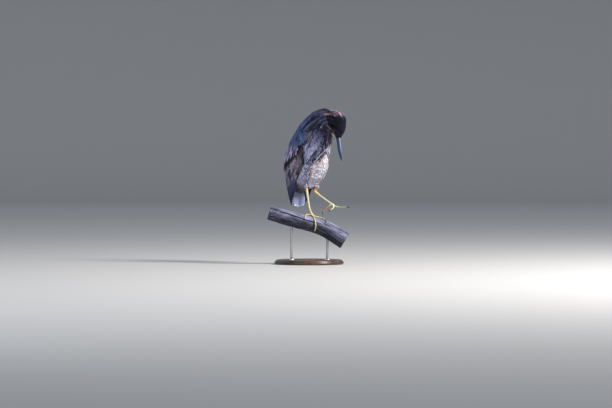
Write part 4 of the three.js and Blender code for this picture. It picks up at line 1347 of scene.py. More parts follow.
def wing_shade(places, along):
    """Painted shade: dark in a band under the scapular tips, where they shade the coverts, along the front
    edge in the crevice beside the flank, and in the covered part of each vane.
    """
    flat = places.reshape(-1, 3)
    angle = round_body(flat)
    # painted shadow of the scapular tips, and painted shade along the wing's front edge
    hollow = blend(22, 9, tips_height(angle) - flat[:, 2])
    at_edge = blend(9, 4, angle - wing_edges(flat[:, 2])[..., 0])
    edge = at_edge * blend(130, 140, flat[:, 2]) * blend(234, 220, flat[:, 2])
    shade = 1 - np.maximum(0.9 * hollow, 0.7 * edge).reshape(along.shape)
    return (shade * vane_shade(along))[..., None]


def covert_paint(places, along):
    """Brown, mottled and a little rusty, bluer low on the wing."""
    flat = places.reshape(-1, 3)
    strand = blend(0.25, 0.75, soft_noise(flat * [1, 1, 0.3], 6, 61)).reshape(along.shape)[..., None]
    rust = blend(0.55, 0.8, soft_noise(flat * [1, 1, 0.5], 11, 67)).reshape(along.shape)[..., None]
    low = blend(132, 112, flat[:, 2]).reshape(along.shape)[..., None]
    ground = mix(linear(54, 47, 64), linear(168, 156, 182), strand)
    return mix(mix(ground, linear(98, 62, 70), 0.5 * rust), linear(60, 68, 104), 0.6 * low)


def scapular_paint(places, along):
    """Steel blue on the shoulder, then dark violet grey with lilac strands, and painted shade near the root.
    """
    flat = places.reshape(-1, 3)
    blue = (blend(142, 118, round_body(flat)) * blend(222, 246, flat[:, 2])).reshape(along.shape)[..., None]
    strand = blend(0.25, 0.6, soft_noise(flat * [1, 1, 0.25], 6.5, 63)).reshape(along.shape)[..., None]
    violet = mix(linear(62, 54, 72), linear(202, 190, 224), strand)
    steel = mix(linear(46, 60, 104), linear(90, 112, 168), strand)
    return mix(violet, steel, blue) * vane_shade(along, 0.1, 0.5, 0.62)[..., None]

# %% Pieces from rows
def row_piece(name, rows, material, replaced=()):
    """One piece from several rows of feathers."""
    pieces = []
    for row in rows:
        near, _, face = hide.nearest(row["root"])
        pieces.append(feather_piece(name, row["corners"], hide.map_at(near, face), row["section"], material,
                                    row["ground"], row["mark"], row["strength"], row["along"]))
    made = join_pieces(pieces, name)
    if replaced:
        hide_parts(*replaced)
    return made


def join_pieces(pieces, name):
    """Joins mesh objects into the first one."""
    bpy.ops.object.select_all(action="DESELECT")
    for piece in pieces:
        piece.select_set(True)
    bpy.context.view_layer.objects.active = pieces[0]
    if len(pieces) > 1:
        bpy.ops.object.join()
    pieces[0].select_set(False)
    pieces[0].name = pieces[0].data.name = name
    return pieces[0]

# %% Wing rows
covert_look = feather_material("wing_coverts", roughness=0.58, tip=1, tip_length=0.14, streak=0.4,
                               streak_width=0.16, edge=0.3, barbs=44, barb_contrast=0.3)
scapular_look = feather_material("scapulars", roughness=0.55, tip=0.3, tip_length=0.12, streak=0.6,
                                 streak_width=0.2, edge=0.4, barbs=60, barb_contrast=0.3)
flight_look = feather_material("flight_feathers", roughness=0.5, tip=0.8, tip_length=0.05, streak=0.15,
                               streak_width=0.1, edge=0.55, barbs=120, barb_contrast=0.25)
COVERTS = [  # feathers, height of roots in front and behind, and of tips, depth at root and tip, width, spots
    (17, 214, 222, 140, 130, 5.2, 1.8, 11, 0.8), (19, 226, 234, 154, 142, 5, 1.7, 10, 0.9),
    (20, 232, 240, 168, 155, 4.7, 1.5, 9.5, 0.9), (20, 238, 246, 181, 168, 4.4, 1.4, 9, 0.9),
    (20, 246, 252, 194, 181, 4.1, 1.2, 8.5, 0.9), (20, 254, 260, 208, 196, 3.9, 1, 8.5, 0.8),
    (18, 262, 266, 222, 212, 3.7, 0.9, 8.5, 0.8), (16, 270, 272, 236, 230, 3.5, 0.8, 8.5, 0.7),
    (14, 280, 280, 250, 246, 3.3, 0.7, 8.5, 0.6)]
SCAPULARS = [  # root height, rise of the tips
    (284, 0), (286, 9), (288, 22), (291, 38), (296, 56), (302, 74), (308, 92)]


def wing_tip(share):
    """Where the primaries end: they close to one point, low on the wing."""
    away = share - 0.42
    return np.column_stack([0.40 + away * (0.55 + 0.4 * np.abs(away)), 36 + 66 * np.abs(away) ** 1.25])

# %% Rows of both wings
for side in SIDES:
    coverts = [
        feather_row(
            side, count, between((0, high), (0.92, high_back)), between((0.02, low), (0.92, low_back)),
            (deep, shallow), (size, size + 1), 0.5, covert_paint, (212, 208, 226), spots, loose=2.4,
            shade=wing_shade)
        for count, high, high_back, low, low_back, deep, shallow, size, spots in COVERTS]
    scapulars = [
        feather_row(
            side, 20, between((0, high - 6), (0.97, high + 6)), scapular_tips(rise),
            (3.8 - i * 0.35, -1.2 - 0.32 * i), (8, 10), 0.5, scapular_paint, (184, 180, 216), 1, rows=9,
            loose=1.8, tip_lift=max(2.6 - 0.5 * i, 0))
        for i, (high, rise) in enumerate(SCAPULARS)]
    primaries = feather_row(
        side, 10, between((0.12, 150), (0.88, 150)), wing_tip, (6, 2.6), (13, 14), 0.8,
        shade_of((62, 68, 98), (56, 64, 98), (32, 34, 58)), (150, 156, 190), 0.5, rows=14, loose=0.6)
    secondaries = feather_row(
        side, 14, between((0.03, 200), (0.92, 200)), between((0.05, 112), (0.93, 80)), (5.6, 2.2), (14, 16),
        0.7, covert_paint, (206, 204, 224), 0.9, rows=12, shade=wing_shade)
    tertials = feather_row(
        side, 6, between((0.55, 240), (0.95, 240)), between((0.55, 120), (0.96, 84)), (4.2, 1), (20, 19),
        0.7, covert_paint, (186, 182, 204), 0.8, rows=12, shade=wing_shade)
    flights = [primaries, secondaries, tertials]
    row_piece(f"wing_coverts_{side}", coverts, covert_look, [f"wing_{side}"])
    row_piece(f"scapulars_{side}", scapulars, scapular_look)
    row_piece(f"flight_feathers_{side}", flights, flight_look, [f"primaries_{side}"])

# %% [markdown]
# ## Tail
# Twelve tail feathers are stacked like a closed fan: the middle pair on top, each next one a little lower,
# so from below the outermost pair shows most. Their tips are pale and a little worn.

# %% Tail feathers
TAIL = smooth_table([  # height, half width, back
    [20, 28, -67], [40, 29, -66], [75, 25, -63], [110, 17, -60], [132, 12, -60]])
TAIL_TOP, TAIL_TIP, TAIL_WIDTH = 132, 31, 0.0258  # heights of roots and tips, and metres across each feather


def tail_row():
    """The twelve tail feathers, as one row."""
    count, rows = 12, 15
    order = np.arange(count) - (count - 1) / 2
    t = crowded(rows)
    spread = order / (count / 2)
    tip = TAIL_TIP + 3.5 * spread**2 + random.normal(0, 0.8, count)
    height = TAIL_TOP + (tip[:, None] - TAIL_TOP) * t[None]
    half_width, back = np.moveaxis(TAIL(height), -1, 0)
    left = spread[:, None] * (half_width - 9) * (0.35 + 0.65 * t[None])
    layer = np.abs(order)[:, None] / (count / 2) * 1.5
    shaft = np.stack([back + 0.7 + layer + 3 * (left / 28) ** 2, left, height], -1)
    normals = np.broadcast_to(unit(np.array([-1, 0, 0.05])), shaft.shape)
    corners = lay_vanes(scene_m(shaft), normals, np.zeros((count, rows)), np.full(count, TAIL_WIDTH), 0.0008,
                        vane_profile(t, 0.45, 0.2, 0.8, 0.42), section=FLIGHT, camber=0.08,
                        roll=spread * 0.03, ragged=0.06, slant=0.35)
    # Painted light: the upper half of the tail is paler, to lift the shade of the coverts over it; shade_of
    # also adds painted shade near each root.
    paint = shade_of((150, 158, 192), (150, 158, 192), (132, 140, 176), (128, 136, 172))
    ground = paint(shaft, np.broadcast_to(t, height.shape))
    mark = np.broadcast_to(linear(246, 236, 244), ground.shape)
    strength = np.where(order < 1.6, random.uniform(0.7, 1, count), 0.35)
    return dict(corners=corners, ground=ground[:, :, None], mark=mark[:, :, None], strength=strength,
                root=scene_m(shaft[:, 0]), section=FLIGHT, along=t)


tail_look = feather_material("tail_feathers", roughness=0.5, tip=1, tip_length=0.1, streak=0.1,
                             streak_width=0.1, edge=0.05, barbs=110, barb_contrast=0.25)
row_piece("tail_feathers", [tail_row()], tail_look, ["tail"])

# %% [markdown]
# ## Tail coverts
# Soft fans of short feathers close the body over and under the root of the tail. The body ends there, so
# they aren't walked over the skin: each shaft falls from a root on the rump or vent to a tip against the
# tail, with a little belly in it.

# %% Tail coverts
FAN_STEPS = 6


def feather_fan(name, count, roots_at, tips_at, facing, slope, dark, pale, look):
    """A fan of feathers from roots to tips, each a table of level, forward, height and half width.

    facing is 1 to the front and -1 to the back, and slope tilts the fan up."""
    out, level = random.uniform(-1, 1, count), random.random(count)
    ends = []
    for table, bow in ((roots_at, 14), (tips_at, 6)):
        forward, height, half_width = np.moveaxis(smooth_table(table)(level), -1, 0)
        forward = forward - facing * bow * out**2 + random.normal(0, 0.8, count)
        height = height + 7 * out**2 + random.normal(0, 2, count)
        ends.append(np.stack([forward, out * half_width, height], -1))
    t = np.linspace(0, 1, FAN_STEPS)
    shaft = ends[0][:, None] * (1 - t)[None, :, None] + ends[1][:, None] * t[None, :, None]
    shaft[..., 0] += facing * 2.5 * np.sin(t * math.pi)
    facing_out = unit(np.stack([np.full(count, float(facing)), out * 0.9, np.full(count, slope)], -1))
    normals = facing_out[:, None] * np.ones((1, FAN_STEPS, 1))
    corners = lay_vanes(scene_m(shaft), normals, np.zeros((count, FAN_STEPS)),
                        random.uniform(3.4, 6, count) / 1000, 0.00035,
                        vane_profile(t, tip=0.22, widest=0.5), roll=random.normal(0, 0.15, count), ragged=0.3,
                        slant=0.35)
    paleness = random.random((count, 1))
    # painted shade: darker towards each covered root
    ground = mix(linear(*dark), linear(*pale), paleness)[:, None] * (0.5 + 0.5 * t)[None, :, None]
    mark = np.broadcast_to(linear(*pale) * 1.3, ground.shape)
    near, _, face = hide.nearest(scene_m(shaft[:, 0]))
    made = feather_piece(name, corners, hide.map_at(near, face), DIAMOND, look, ground[:, :, None],
                         mark[:, :, None], random.uniform(0.2, 0.7, count))


feather_fan("undertail_coverts", 560, [[0, -50, 102, 17], [1, -34, 108, 26]],
            [[0, -56, 89, 20], [1, -45, 96, 28]], 1, -0.25, (78, 72, 82), (124, 118, 130), breast_look)
feather_fan("uppertail_coverts", 460, [[0, -84, 104, 18], [1, -100, 138, 16]],
            [[0, -70, 72, 22], [1, -98, 104, 20]], -1, -0.45, (40, 40, 56), (78, 78, 102), back_look)

# %% [markdown]
# ## Bill
# The bill is two horny sheaths that meet at the cutting edges. The upper one is a narrow arch with a groove
# on each side that holds the slit of the nostril, and the lower one is a shallow keel. Both are drawn as
# rings along the bill, from tables of height and width in the head's frame, and closed at both ends.

# %% Bill sheaths
BILL = smooth_table([  # along, culmen, cutting edge, lower edge, half width
    [14, 13, 0.4, -10.8, 8.8], [26, 12.2, 0.2, -11, 8.2], [42, 10, -0.3, -10, 6.9],
    [60, 7.7, -0.7, -8.2, 5.3], [80, 5.2, -1, -5.9, 4], [94, 2.7, -1.3, -3.8, 2.5],
    [102.5, -0.5, -1.9, -2.6, 0.8]])
BILL_START, UPPER_END, LOWER_END = 14, 102.5, 96.5  # along the bill
GAP = 0.16  # from the middle of the seam to each cutting edge
GROOVE_TURN, GROOVE_SPREAD = 46, 9  # degrees above the cutting edge, and how wide the groove is
BILL_STEPS, BILL_RING = 90, 36

# %% Bill colours
def bill_colour(is_upper, share, high):
    """The horn's colour and its painted highlights, share of the way to the tip and high above the cutting
    edges.
    """
    if is_upper:
        ground = mix(linear(9, 27, 54), linear(14, 44, 90), share)
        # pale teal near the cutting edge at the base: the horn's greenish base, with a painted highlight on
        # it
        pale = blend(0.24, 0.08, high) * blend(0.95, 0.3, share)
        # painted highlight: a pale blue band along the culmen ridge
        culmen_highlight = blend(0.80, 0.97, high) * blend(0.9, 0.5, share)
        return mix(mix(ground, linear(96, 142, 148), pale), linear(150, 168, 200), 0.5 * culmen_highlight)
    ground = mix(linear(176, 190, 168), linear(40, 66, 104), blend(0.2, 0.8, share))
    seam_line = blend(-0.22, -0.08, high) * blend(0.25, 0.5, share)
    under = blend(-0.7, -0.95, high) * blend(0.2, 0.45, share) * blend(0.8, 0.6, share)
    return mix(mix(ground, linear(16, 40, 34), 0.85 * seam_line), linear(168, 164, 92), 0.7 * under)

# %% One half of the bill
def bill_sheath(name, last, is_upper):
    """One half of the bill, with its places along and round kept for the paint."""
    places = BILL_START + (last - BILL_START) * np.linspace(0, 1, BILL_STEPS) ** 0.9
    culmen, edge, lower, half_width = np.moveaxis(BILL(places), -1, 0)
    turn = full_turn(BILL_RING)
    cos, sin = np.cos(turn)[None], np.sin(turn)[None]
    seam = edge + (GAP if is_upper else -GAP)
    outer = (sin > 0) if is_upper else (sin < 0)
    reach = (culmen - seam) if is_upper else np.maximum(seam - lower, 0.35)
    height = np.where(outer, sin * reach[:, None], sin * 0.12)
    arch = np.where(outer, 1 - (0.22 if is_upper else 0.30) * sin**2, 1 - 0.05 * sin**2)
    left = cos * half_width[:, None] * arch
    if is_upper:
        from_groove = (np.minimum(np.degrees(turn), 180 - np.degrees(turn)) - GROOVE_TURN)[None]
        groove_length = (blend(20, 26, places) * blend(72, 50, places))[:, None]
        groove = np.exp(-((from_groove / GROOVE_SPREAD) ** 2)) * outer * groove_length
        slit_of_nostril = groove * (blend(27, 29, places) * blend(41, 37, places))[:, None]
        inward = 0.55 * groove + 0.7 * slit_of_nostril
        left = left * (1 - inward / np.maximum(half_width[:, None], 1))
        height = height * (1 - 0.3 * inward / np.maximum(reach[:, None], 1))
    crown = seam[:, None] + height
    points = from_head(np.repeat(places, BILL_RING), left.ravel(), crown.ravel())
    share = np.repeat((places - BILL_START) / (last - BILL_START), BILL_RING)[:, None]
    high = np.clip((crown - seam[:, None]) / np.maximum(reach[:, None], 0.5), -1, 1).ravel()[:, None]
    ground = np.concatenate([bill_colour(is_upper, share, high), np.ones((len(points), 1))], -1)
    around = np.stack([np.repeat(places, BILL_RING) / 10, np.tile(turn, BILL_STEPS)], -1)
    faces = closed_net(BILL_STEPS, BILL_RING)[:, [0, 3, 2, 1]]  # the rings run the other way round here
    made = face_outward(make_piece(name, scene_m(points), faces, bill_look, {"ground": ground},
                                   {"Sheath": around}))
    node = "bill_upper" if is_upper else "bill_lower"
    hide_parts(node)

# %% Bill horn
bill_look, tree = new_material("bill_horn")
tone = put(tree, "Attribute", attribute_name="ground").outputs["Color"]
sheath_map = put(tree, "UVMap", uv_map="Sheath").outputs["UV"]
fibres = noise(tree, stretched(tree, sheath_map, (0.6, 9, 1)), 2.2, 6)
principled(tree, {
    "Base Color": multiplied(tree, tone, ranged(tree, fibres, 0.3, 0.7, 0.75, 1.25)),
    "Roughness": ranged(tree, fibres, 0, 1, 0.2, 0.36), "Normal": bumps(tree, fibres, 0.1, 0.0003),
    "Specular IOR Level": 0.3, "Coat Weight": 0.3, "Coat Roughness": 0.1})
bill_sheath("bill_upper_sheath", UPPER_END, True)
bill_sheath("bill_lower_sheath", LOWER_END, False)

# %% [markdown]
# ## Eyes
# A night heron has a large red eye that fills its lids. The ball is turned round the way the eye looks, so
# that the pupil, the iris and the clear bulge of the cornea are rings of the same turning.

# %% Eyeballs
PUPIL, IRIS = 0.34, 0.86  # radius of the pupil and of the iris, as shares of the ball's
EYE_ROWS, EYE_RING = 40, 56
BALL_RADIUS, CORNEA_BULGE = EYE_RADIUS - 0.45, 0.55


def eyeball(side):
    """One eyeball with a cornea, and a map of angle and reach for its iris."""
    sign = SIDES[side]
    away = np.linspace(0, math.pi, EYE_ROWS)
    turn = full_turn(EYE_RING)
    within = np.clip(away / math.asin(IRIS) * math.pi / 2, 0, math.pi / 2)
    radius = BALL_RADIUS + CORNEA_BULGE * np.cos(within) ** 0.8
    axis = EYE_WAY * [1, sign, 1]
    first = unit(np.cross(axis, [0, 0, 1]))
    second = np.cross(axis, first)
    ring = (np.cos(turn)[:, None] * first + np.sin(turn)[:, None] * second)[None]
    ball = np.cos(away)[:, None, None] * axis + np.sin(away)[:, None, None] * ring
    rows = (ball * radius[:, None, None])[1:-1].reshape(-1, 3)
    poles = np.array([axis * radius[0], -axis * radius[-1]])
    places = EYE_PLACE * [1, sign, 1] + np.concatenate([rows, poles])
    inner = EYE_ROWS - 2
    behind = (away[1:-1] > math.pi / 2) * 9
    reach = np.concatenate([np.repeat(np.sin(away[1:-1]) + behind, EYE_RING), [0, 9]])
    reach = np.minimum(reach, 1)
    angle = np.concatenate([np.tile(turn, inner), [0, 0]])
    polar = np.stack([np.cos(angle) * reach, np.sin(angle) * reach], -1) / 2 + 0.5
    world = scene_m(from_head(places[:, 0], places[:, 1], places[:, 2]))
    made = face_outward(make_piece(f"eyeball_{side}", world, poled_net(inner, EYE_RING), eye_look, {},
                                   {"Iris": polar}))
    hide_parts(f"eye_{side}")

# %% Eye finish
eye_look, tree = new_material("heron_eye")
place = put(tree, "UVMap", uv_map="Iris").outputs["UV"]
centred = put(tree, "VectorMath", {0: place, 1: (0.5, 0.5, 0)}, operation="SUBTRACT").outputs[0]
reach = put(tree, "VectorMath", {0: centred}, operation="LENGTH").outputs["Value"]
ways = put(tree, "VectorMath", {0: centred}, operation="NORMALIZE").outputs[0]
rays = put(tree, "Math", {0: noise(tree, ways, 9, 4), 1: 0.05}, operation="MULTIPLY").outputs[0]
at = put(tree, "Math", {0: reach, 1: rays}, operation="ADD").outputs[0]
ramp = put(tree, "ValToRGB", {"Fac": at})
stops = [  # distance from the middle of the pupil, colour
    (0, (2, 2, 3)), (PUPIL / 2 + 0.01, (4, 2, 3)), (PUPIL / 2 + 0.03, (122, 24, 8)), (0.25, (104, 9, 7)),
    (0.34, (84, 7, 7)), (IRIS / 2 + 0.01, (128, 36, 16)), (IRIS / 2 + 0.05, (14, 8, 8))]
while len(ramp.color_ramp.elements) < len(stops):
    ramp.color_ramp.elements.new(1)
for element, (position, colour) in zip(ramp.color_ramp.elements, stops):
    element.position, element.color = position, (*linear(*colour), 1)
principled(tree, {"Base Color": ramp.outputs["Color"], "Roughness": 0.2, "Specular IOR Level": 0.2,
                  "Coat Weight": 0.3, "Coat Roughness": 0.03})
for side in SIDES:
    eyeball(side)

# %% [markdown]
# ## Claws
# Each toe ends in a curved, pointed horn sheath, deeper than it is wide. Its line is measured on the CAD
# claw, and a pointed tube is drawn along it.

# %% Claws
claw_look, tree = new_material("claw_horn")
flecks = noise(tree, put(tree, "TexCoord").outputs["Object"], 900, 4)
ramp = put(tree, "ValToRGB", {"Fac": flecks})
ramp.color_ramp.elements[0].color = (*linear(28, 24, 24), 1)
ramp.color_ramp.elements[1].color = (*linear(74, 62, 56), 1)
principled(tree, {"Base Color": ramp.outputs["Color"], "Roughness": 0.32,
                  "Normal": bumps(tree, flecks, 0.2, 0.0002)})
CLAW_STEPS, CLAW_RING, CLAW_RADIUS = 18, 14, 0.0017


def claw_horn(name, line, half_widths, half_heights):
    """A closed tube along a line, with a half width and a half height at each point of it."""
    along = unit(np.gradient(line, axis=0))
    side = np.cross(along, [0.13, 0.27, 1])
    for place in range(1, len(line)):  # carried along the line, so the tube never twists
        side[place] = side[place - 1] - along[place] * (side[place - 1] @ along[place])
    side = unit(side)
    up = np.cross(side, along)
    turn = full_turn(CLAW_RING)
    points = (line[:, None] + np.cos(turn)[None, :, None] * side[:, None] * half_widths[:, None, None]
              + np.sin(turn)[None, :, None] * up[:, None] * half_heights[:, None, None])
    return face_outward(make_piece(name, points, closed_net(len(line), CLAW_RING), claw_look, {}, {}))


def claw_line(toe, side):
    """The line of one claw from its toe to its point, as one even bend."""
    line = middle_line(f"claw_{toe}_{side}", 5)
    toe_end = mesh_points(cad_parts[f"toe_{toe}_{side}"].data)
    from_start, from_end = (np.linalg.norm(toe_end - line[end], axis=1).min() for end in (0, -1))
    if from_end < from_start:
        line = line[::-1]
    root, tip = line[0] - (line[1] - line[0]) * 0.6, line[-1] + (line[-1] - line[-2]) * 0.55
    line = np.concatenate([[root], line, [tip]])
    place, share = np.linspace(0, 1, len(line)), np.linspace(0, 1, CLAW_STEPS)
    return np.stack([np.polyval(np.polyfit(place, column, 2), share) for column in line.T], -1)


share = np.linspace(0, 1, CLAW_STEPS)
half = CLAW_RADIUS * (1 - share) ** 0.75 * (0.82 + 0.18 * blend(0, 0.15, share)) + 0.00008
for side in SIDES:
    claws = [claw_horn(f"claw_{toe}_{side}_horn", claw_line(toe, side), half * 0.85, half * 1.1)
             for toe in TOE_NAMES]
    made = join_pieces(claws, f"claws_{side}")
    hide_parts(*(f"claw_{toe}_{side}" for toe in TOE_NAMES))

# %% [markdown]
# ## Weathered perch
# The perch is a cut length of an old bare branch, silvered by sun and water. It is a tube along a gently
# bending line, and its surface is carved in code: long fibres that run with the branch, drying cracks that
# open along them, a few small knots, and a sawn end whose rays crack outwards. Value noise on a wrapped net
# gives the relief, and the same relief gives the colour: dark in the cracks as painted shade, and pale on the
# worn ridges. Painted light makes the top of the branch paler than its underside.

# %% Form of the branch
def bark_noise(x, y, wrap, seed):
    """Smooth noise over flat places, which repeats after wrap cells of y."""
    return soft_noise(np.stack([x, y], -1), 1, seed, (512, wrap))


BRANCH_MIDDLE, BRANCH_TURN = np.array([12.7, -12.7]), math.radians(45)
BRANCH_START, BRANCH_END = -146, 112
branch_form = smooth_table([  # along, height of the middle line, radius
    [-160, 15.5, 22], [-145, 11, 23], [-87, -5.5, 25], [-40, -17.5, 25.6], [3, -28.8, 26], [42, -42.6, 27.2],
    [92, -71, 29.5], [125, -91, 31]])
CRACKS = [  # start and end along, degrees round at each, width, depth
    (-146, 22, 128, 168, 3.2, 8), (-20, 62, 160, 150, 0.9, 2.2), (-146, -70, 205, 196, 1, 2.4),
    (-120, -30, 60, 48, 1.2, 3), (10, 112, 190, 214, 1, 2.2), (30, 112, 128, 116, 1.2, 2.6),
    (-146, -40, 300, 282, 1.2, 3), (-60, 70, 250, 238, 1, 2.5), (0, 100, 20, 34, 1.2, 3),
    (-110, 20, 340, 350, 1, 2.5), (60, 112, 165, 160, 0.8, 1.8), (-100, -52, 168, 176, 0.7, 1.5)]
KNOTS = [(-36, 196, 7, 1.6), (74, 172, 9, 1.8), (-98, 30, 8, 1.8), (40, 300, 9, 2)]


DEGREE = 0.44  # millimetres round the bark for one degree


def turned_from(around, centre):
    """Degrees from one way round the branch to another, from -180 to 180."""
    return (around - centre + 180) % 360 - 180


def branch_relief(along, around):
    """How far the wood stands out in millimetres, how deep the cracks are and how high the fibres."""
    arc = around / 360

    def lumpy(length, turns, seed, shift=0):
        """Noise with lumps of a length along the branch, and so many of them round it."""
        return bark_noise(along / length, arc * turns + shift, turns, seed)

    warp = 6 * lumpy(40, 5, 3) + 2 * lumpy(14, 11, 4)
    fibres = 0.9 * lumpy(46, 36, 11, warp) + 0.6 * lumpy(22, 80, 12, warp) + 0.35 * lumpy(12, 170, 13, warp)
    lumps = 2.2 * (lumpy(38, 6, 21) - 0.5) + 1 * (lumpy(15, 14, 22) - 0.5)
    cracked = np.zeros_like(along)
    sink = np.zeros_like(along)
    wander = (5 * (bark_noise(along / 22, arc * 0 + 0.5, 3, 31) - 0.5)
              + 2.4 * (bark_noise(along / 7, arc * 0 + 1.5, 3, 32) - 0.5))
    for start, end, turn0, turn1, width, deep in CRACKS:
        share = np.clip((along - start) / (end - start), 0, 1)
        centre = turn0 + (turn1 - turn0) * share + wander
        away = np.abs(turned_from(around, centre)) * DEGREE
        from_sawn_end = start == BRANCH_START
        taper = np.sqrt(np.clip(1 - share if from_sawn_end else 4 * share * (1 - share), 0, 1))
        within = (along > start - 1) & (along < end + 1)
        mask = np.exp(-((away / np.maximum(width * taper, 0.15)) ** 2)) * within * (taper > 0.02)
        sink = np.maximum(sink, mask * deep * taper)
        cracked = np.maximum(cracked, mask * np.minimum(1, taper * 1.6))
    knots = np.zeros_like(along)
    for place, turn, size, high in KNOTS:
        away = np.hypot(along - place, turned_from(around, turn) * DEGREE * 1.3)
        knots += high * np.exp(-((away / size) ** 2)) - 1.1 * high * np.exp(-((away / (size * 0.42)) ** 2))
    return fibres - 0.9 + lumps * 0.6 - sink + knots, np.clip(cracked, 0, 1), fibres / 1.85

# %% Perch mesh
ALONG, AROUND, CAP_RINGS, EDGE = 300, 200, 9, 2.2
sawn_places = [np.full(CAP_RINGS, end) for end in (BRANCH_START, BRANCH_END)]
along = np.concatenate([sawn_places[0], np.linspace(BRANCH_START, BRANCH_END, ALONG), sawn_places[1]])
rings = np.linspace(0.03, 0.985, CAP_RINGS)
cap_share = np.concatenate([rings, np.ones(ALONG), np.linspace(0.985, 0.03, CAP_RINGS)])
around = np.linspace(0, 360, AROUND, endpoint=False)
place, turn = np.meshgrid(along, around, indexing="ij")
lift, cracked, fibre = branch_relief(place, turn)
cap = cap_share[:, None]
middle, radius = np.moveaxis(branch_form(place), -1, 0)
from_end = np.minimum(place - BRANCH_START, BRANCH_END - place)
eased = radius - EDGE * (1 - np.sqrt(np.clip(1 - (1 - np.clip(from_end / EDGE, 0, 1)) ** 2, 0, 1))) * 0.6
reach = (eased + np.clip(lift, -6, 1.2)) * cap
fall = (branch_form(place - 1)[..., 0] - branch_form(place + 1)[..., 0]) / 2
up_x, up_z = fall / np.hypot(fall, 1), 1 / np.hypot(fall, 1)
cos, sin = np.cos(np.radians(turn)), np.sin(np.radians(turn))
rays = bark_noise(turn / 9, cap * 3 + np.zeros_like(turn), 7, 41)
hollow = 2.4 * (1 - cap) ** 0.6 * 0.5 + (1.1 * rays + 2.5 * cracked) * (cap < 0.99) * cap
inwards = np.where(place <= BRANCH_START + 0.01, 1, -1) * hollow * (cap < 0.999)
local = np.stack([place + sin * reach * up_x + inwards, cos * reach, middle + sin * reach * up_z], -1)
cos_turn, sin_turn = math.cos(BRANCH_TURN), math.sin(BRANCH_TURN)
bark_points = np.stack([local[..., 0] * cos_turn - local[..., 1] * sin_turn + BRANCH_MIDDLE[0],
                        local[..., 0] * sin_turn + local[..., 1] * cos_turn + BRANCH_MIDDLE[1],
                        local[..., 2]], -1)

# %% Bark colours
worn = np.clip(fibre * 1.5 - 0.35, 0, 1)
patch = bark_noise(place / 26, turn / 360 * 9, 9, 51)
# painted light: the upper side of the branch is paler and its underside darker
top = blend(-0.2, 0.9, sin)
wood = mix(linear(44, 46, 62), linear(150, 152, 184), worn[..., None])
wood = wood * (0.30 + 0.95 * top[..., None]) * (0.7 + 0.6 * patch[..., None])
# painted shade: dark inside the cracks
wood = wood * (1 - 0.93 * cracked)[..., None]
sawn = (linear(70, 76, 104) * (0.55 + 0.6 * rays)[..., None]) * (0.8 + 0.3 * np.cos(cap * 60))[..., None]
wood = np.where((cap < 0.999)[..., None] & np.ones_like(wood, bool), sawn, wood)

# %% Bark finish and perch
bark_look, tree = new_material("weathered_wood")
tone = put(tree, "Attribute", attribute_name="ground").outputs["Color"]
grain_map = put(tree, "UVMap", uv_map="Grain").outputs["UV"]
grain = noise(tree, stretched(tree, grain_map, (60, 900, 1)), 1, 8, Roughness=0.62)
flecks = noise(tree, put(tree, "TexCoord").outputs["Object"], 210, 6, Roughness=0.7)
light_flecks = ranged(tree, flecks, 0.60, 0.70)
fleck_share = put(tree, "Math", {0: light_flecks, 1: 0.45}, operation="MULTIPLY").outputs[0]
mixed = multiplied(tree, tone, ranged(tree, grain, 0.3, 0.7, 0.55, 1.35))
silver = put(tree, "Mix", {"Factor": fleck_share, "A": mixed, "B": (*linear(176, 178, 206), 1)},
             data_type="RGBA").outputs["Result"]
principled(tree, {"Base Color": silver, "Roughness": 0.78, "Specular IOR Level": 0.25,
                  "Normal": bumps(tree, grain, 0.7, 0.0009)})
ground = np.concatenate([wood, np.ones((*wood.shape[:2], 1))], -1)
grain_places = np.stack([place / 1000 + (cap - 1) * 0.02, turn / 360 * 0.16], -1)
perch = make_piece("perch_wood", scene_m(bark_points), closed_net(len(along), AROUND), bark_look,
                   {"ground": ground}, {"Grain": grain_places})
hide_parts("perch")
print("perch", len(perch.data.polygons), "faces")

# %% [markdown]
# ## Display stand
# The base is a turned hardwood disc with a small ogee edge, and two brushed steel rods stand in collars on
# it and go up into the branch. Turned parts are profiles spun round their own axis, with their ends closed.

# %% Turned parts
def turned(name, profile, centre, segments, material):
    """A closed turned part from [radius, height] pairs, in metres, that start and end on its axis."""
    turn = full_turn(segments)
    radii, heights = np.array(profile[1:-1], float).T
    rings = np.stack([centre[0] + np.outer(radii, np.cos(turn)), centre[1] + np.outer(radii, np.sin(turn)),
                      np.repeat(heights[:, None], segments, 1)], -1).reshape(-1, 3)
    ends = [[*centre, profile[0][1]], [*centre, profile[-1][1]]]
    made = make_piece(name, np.concatenate([rings, ends]), poled_net(len(radii), segments), material, {}, {})
    bevelled = made.modifiers.new("soft_edges", "BEVEL")
    bevelled.width, bevelled.segments = 0.0004, 2
    bevelled.limit_method, bevelled.angle_limit = "ANGLE", 0.6
    settle(made)
    return made

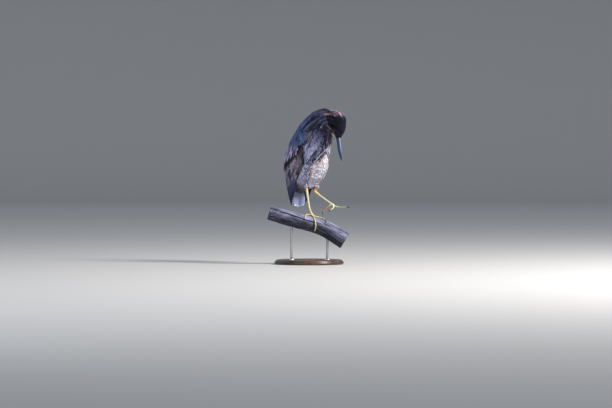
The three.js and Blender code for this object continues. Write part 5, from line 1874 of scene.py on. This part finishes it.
# %% Wood and steel finishes
oak_look, tree = new_material("dark_turned_wood")
coords = put(tree, "TexCoord").outputs["Object"]
grain = noise(tree, stretched(tree, coords, (4, 34, 34)), 1.3, 7, Distortion=1.2)
pores = noise(tree, stretched(tree, coords, (60, 900, 900)), 1, 3)
ramp = put(tree, "ValToRGB", {"Fac": grain})
for element, position, colour in zip(ramp.color_ramp.elements, (0.32, 0.68), ((38, 25, 19), (88, 58, 40))):
    element.position, element.color = position, (*linear(*colour), 1)
stained = multiplied(tree, ramp.outputs["Color"], ranged(tree, pores, 0.34, 0.44, 0.45, 1))
principled(tree, {"Base Color": stained, "Roughness": 0.36, "Coat Weight": 0.25, "Coat Roughness": 0.2,
                  "Normal": bumps(tree, pores, 0.15, 0.0003)})

steel_look, tree = new_material("brushed_steel_rod")
coords = put(tree, "TexCoord").outputs["Object"]
brushed = noise(tree, stretched(tree, coords, (900, 900, 14)), 1, 4)
principled(tree, {
    "Base Color": ranged(tree, brushed, 0, 1, 0.42, 0.58), "Metallic": 1,
    "Roughness": ranged(tree, brushed, 0, 1, 0.22, 0.42), "Normal": bumps(tree, brushed, 0.12, 0.0002)})

# %% Base, rods and collars
low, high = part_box("stand_base")
COLLAR = 0.004
middle = ((low + high) / 2)[:2]
base_radius, base_top = (high[0] - low[0]) / 2, high[2] - COLLAR
edge = [  # inwards from the rim, height
    [0.003, 0], [0.0008, 0.0012], [0, 0.0035], [0, 0.0075], [0.0012, 0.0095], [0.004, 0.0102],
    [0.0046, 0.0118], [0.0062, 0.0142], [0.0092, base_top - 0.0003], [0.012, base_top]]
edge = [[0, 0], *([base_radius - inwards, height] for inwards, height in edge),
        [base_radius * 0.6, base_top], [base_radius * 0.25, base_top], [0, base_top]]
base = turned("stand_base_turned", edge, middle, 160, oak_look)
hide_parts("stand_base")
for number in (1, 2):
    low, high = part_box(f"stand_rod_{number}")
    centre, radius = ((low + high) / 2)[:2], (high[0] - low[0]) / 2
    foot, top, bevel = low[2], high[2], 0.0004
    shape = [[0, foot], [radius - bevel, foot], [radius, foot + bevel], [radius, (foot + top) / 2],
             [radius, top - bevel], [radius - bevel, top], [0, top]]
    rod = turned(f"stand_rod_{number}_steel", shape, centre, 48, steel_look)
    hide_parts(f"stand_rod_{number}")
    ring = [[0, -0.001], [0.0108, -0.001], [0.011, 0.0004], [0.0102, 0.0024], [0.0072, 0.0034],
            [0.0066, COLLAR], [0, COLLAR]]
    ring = [[across, base_top + height] for across, height in ring]
    turned(f"stand_collar_{number}", ring, centre, 64, steel_look)
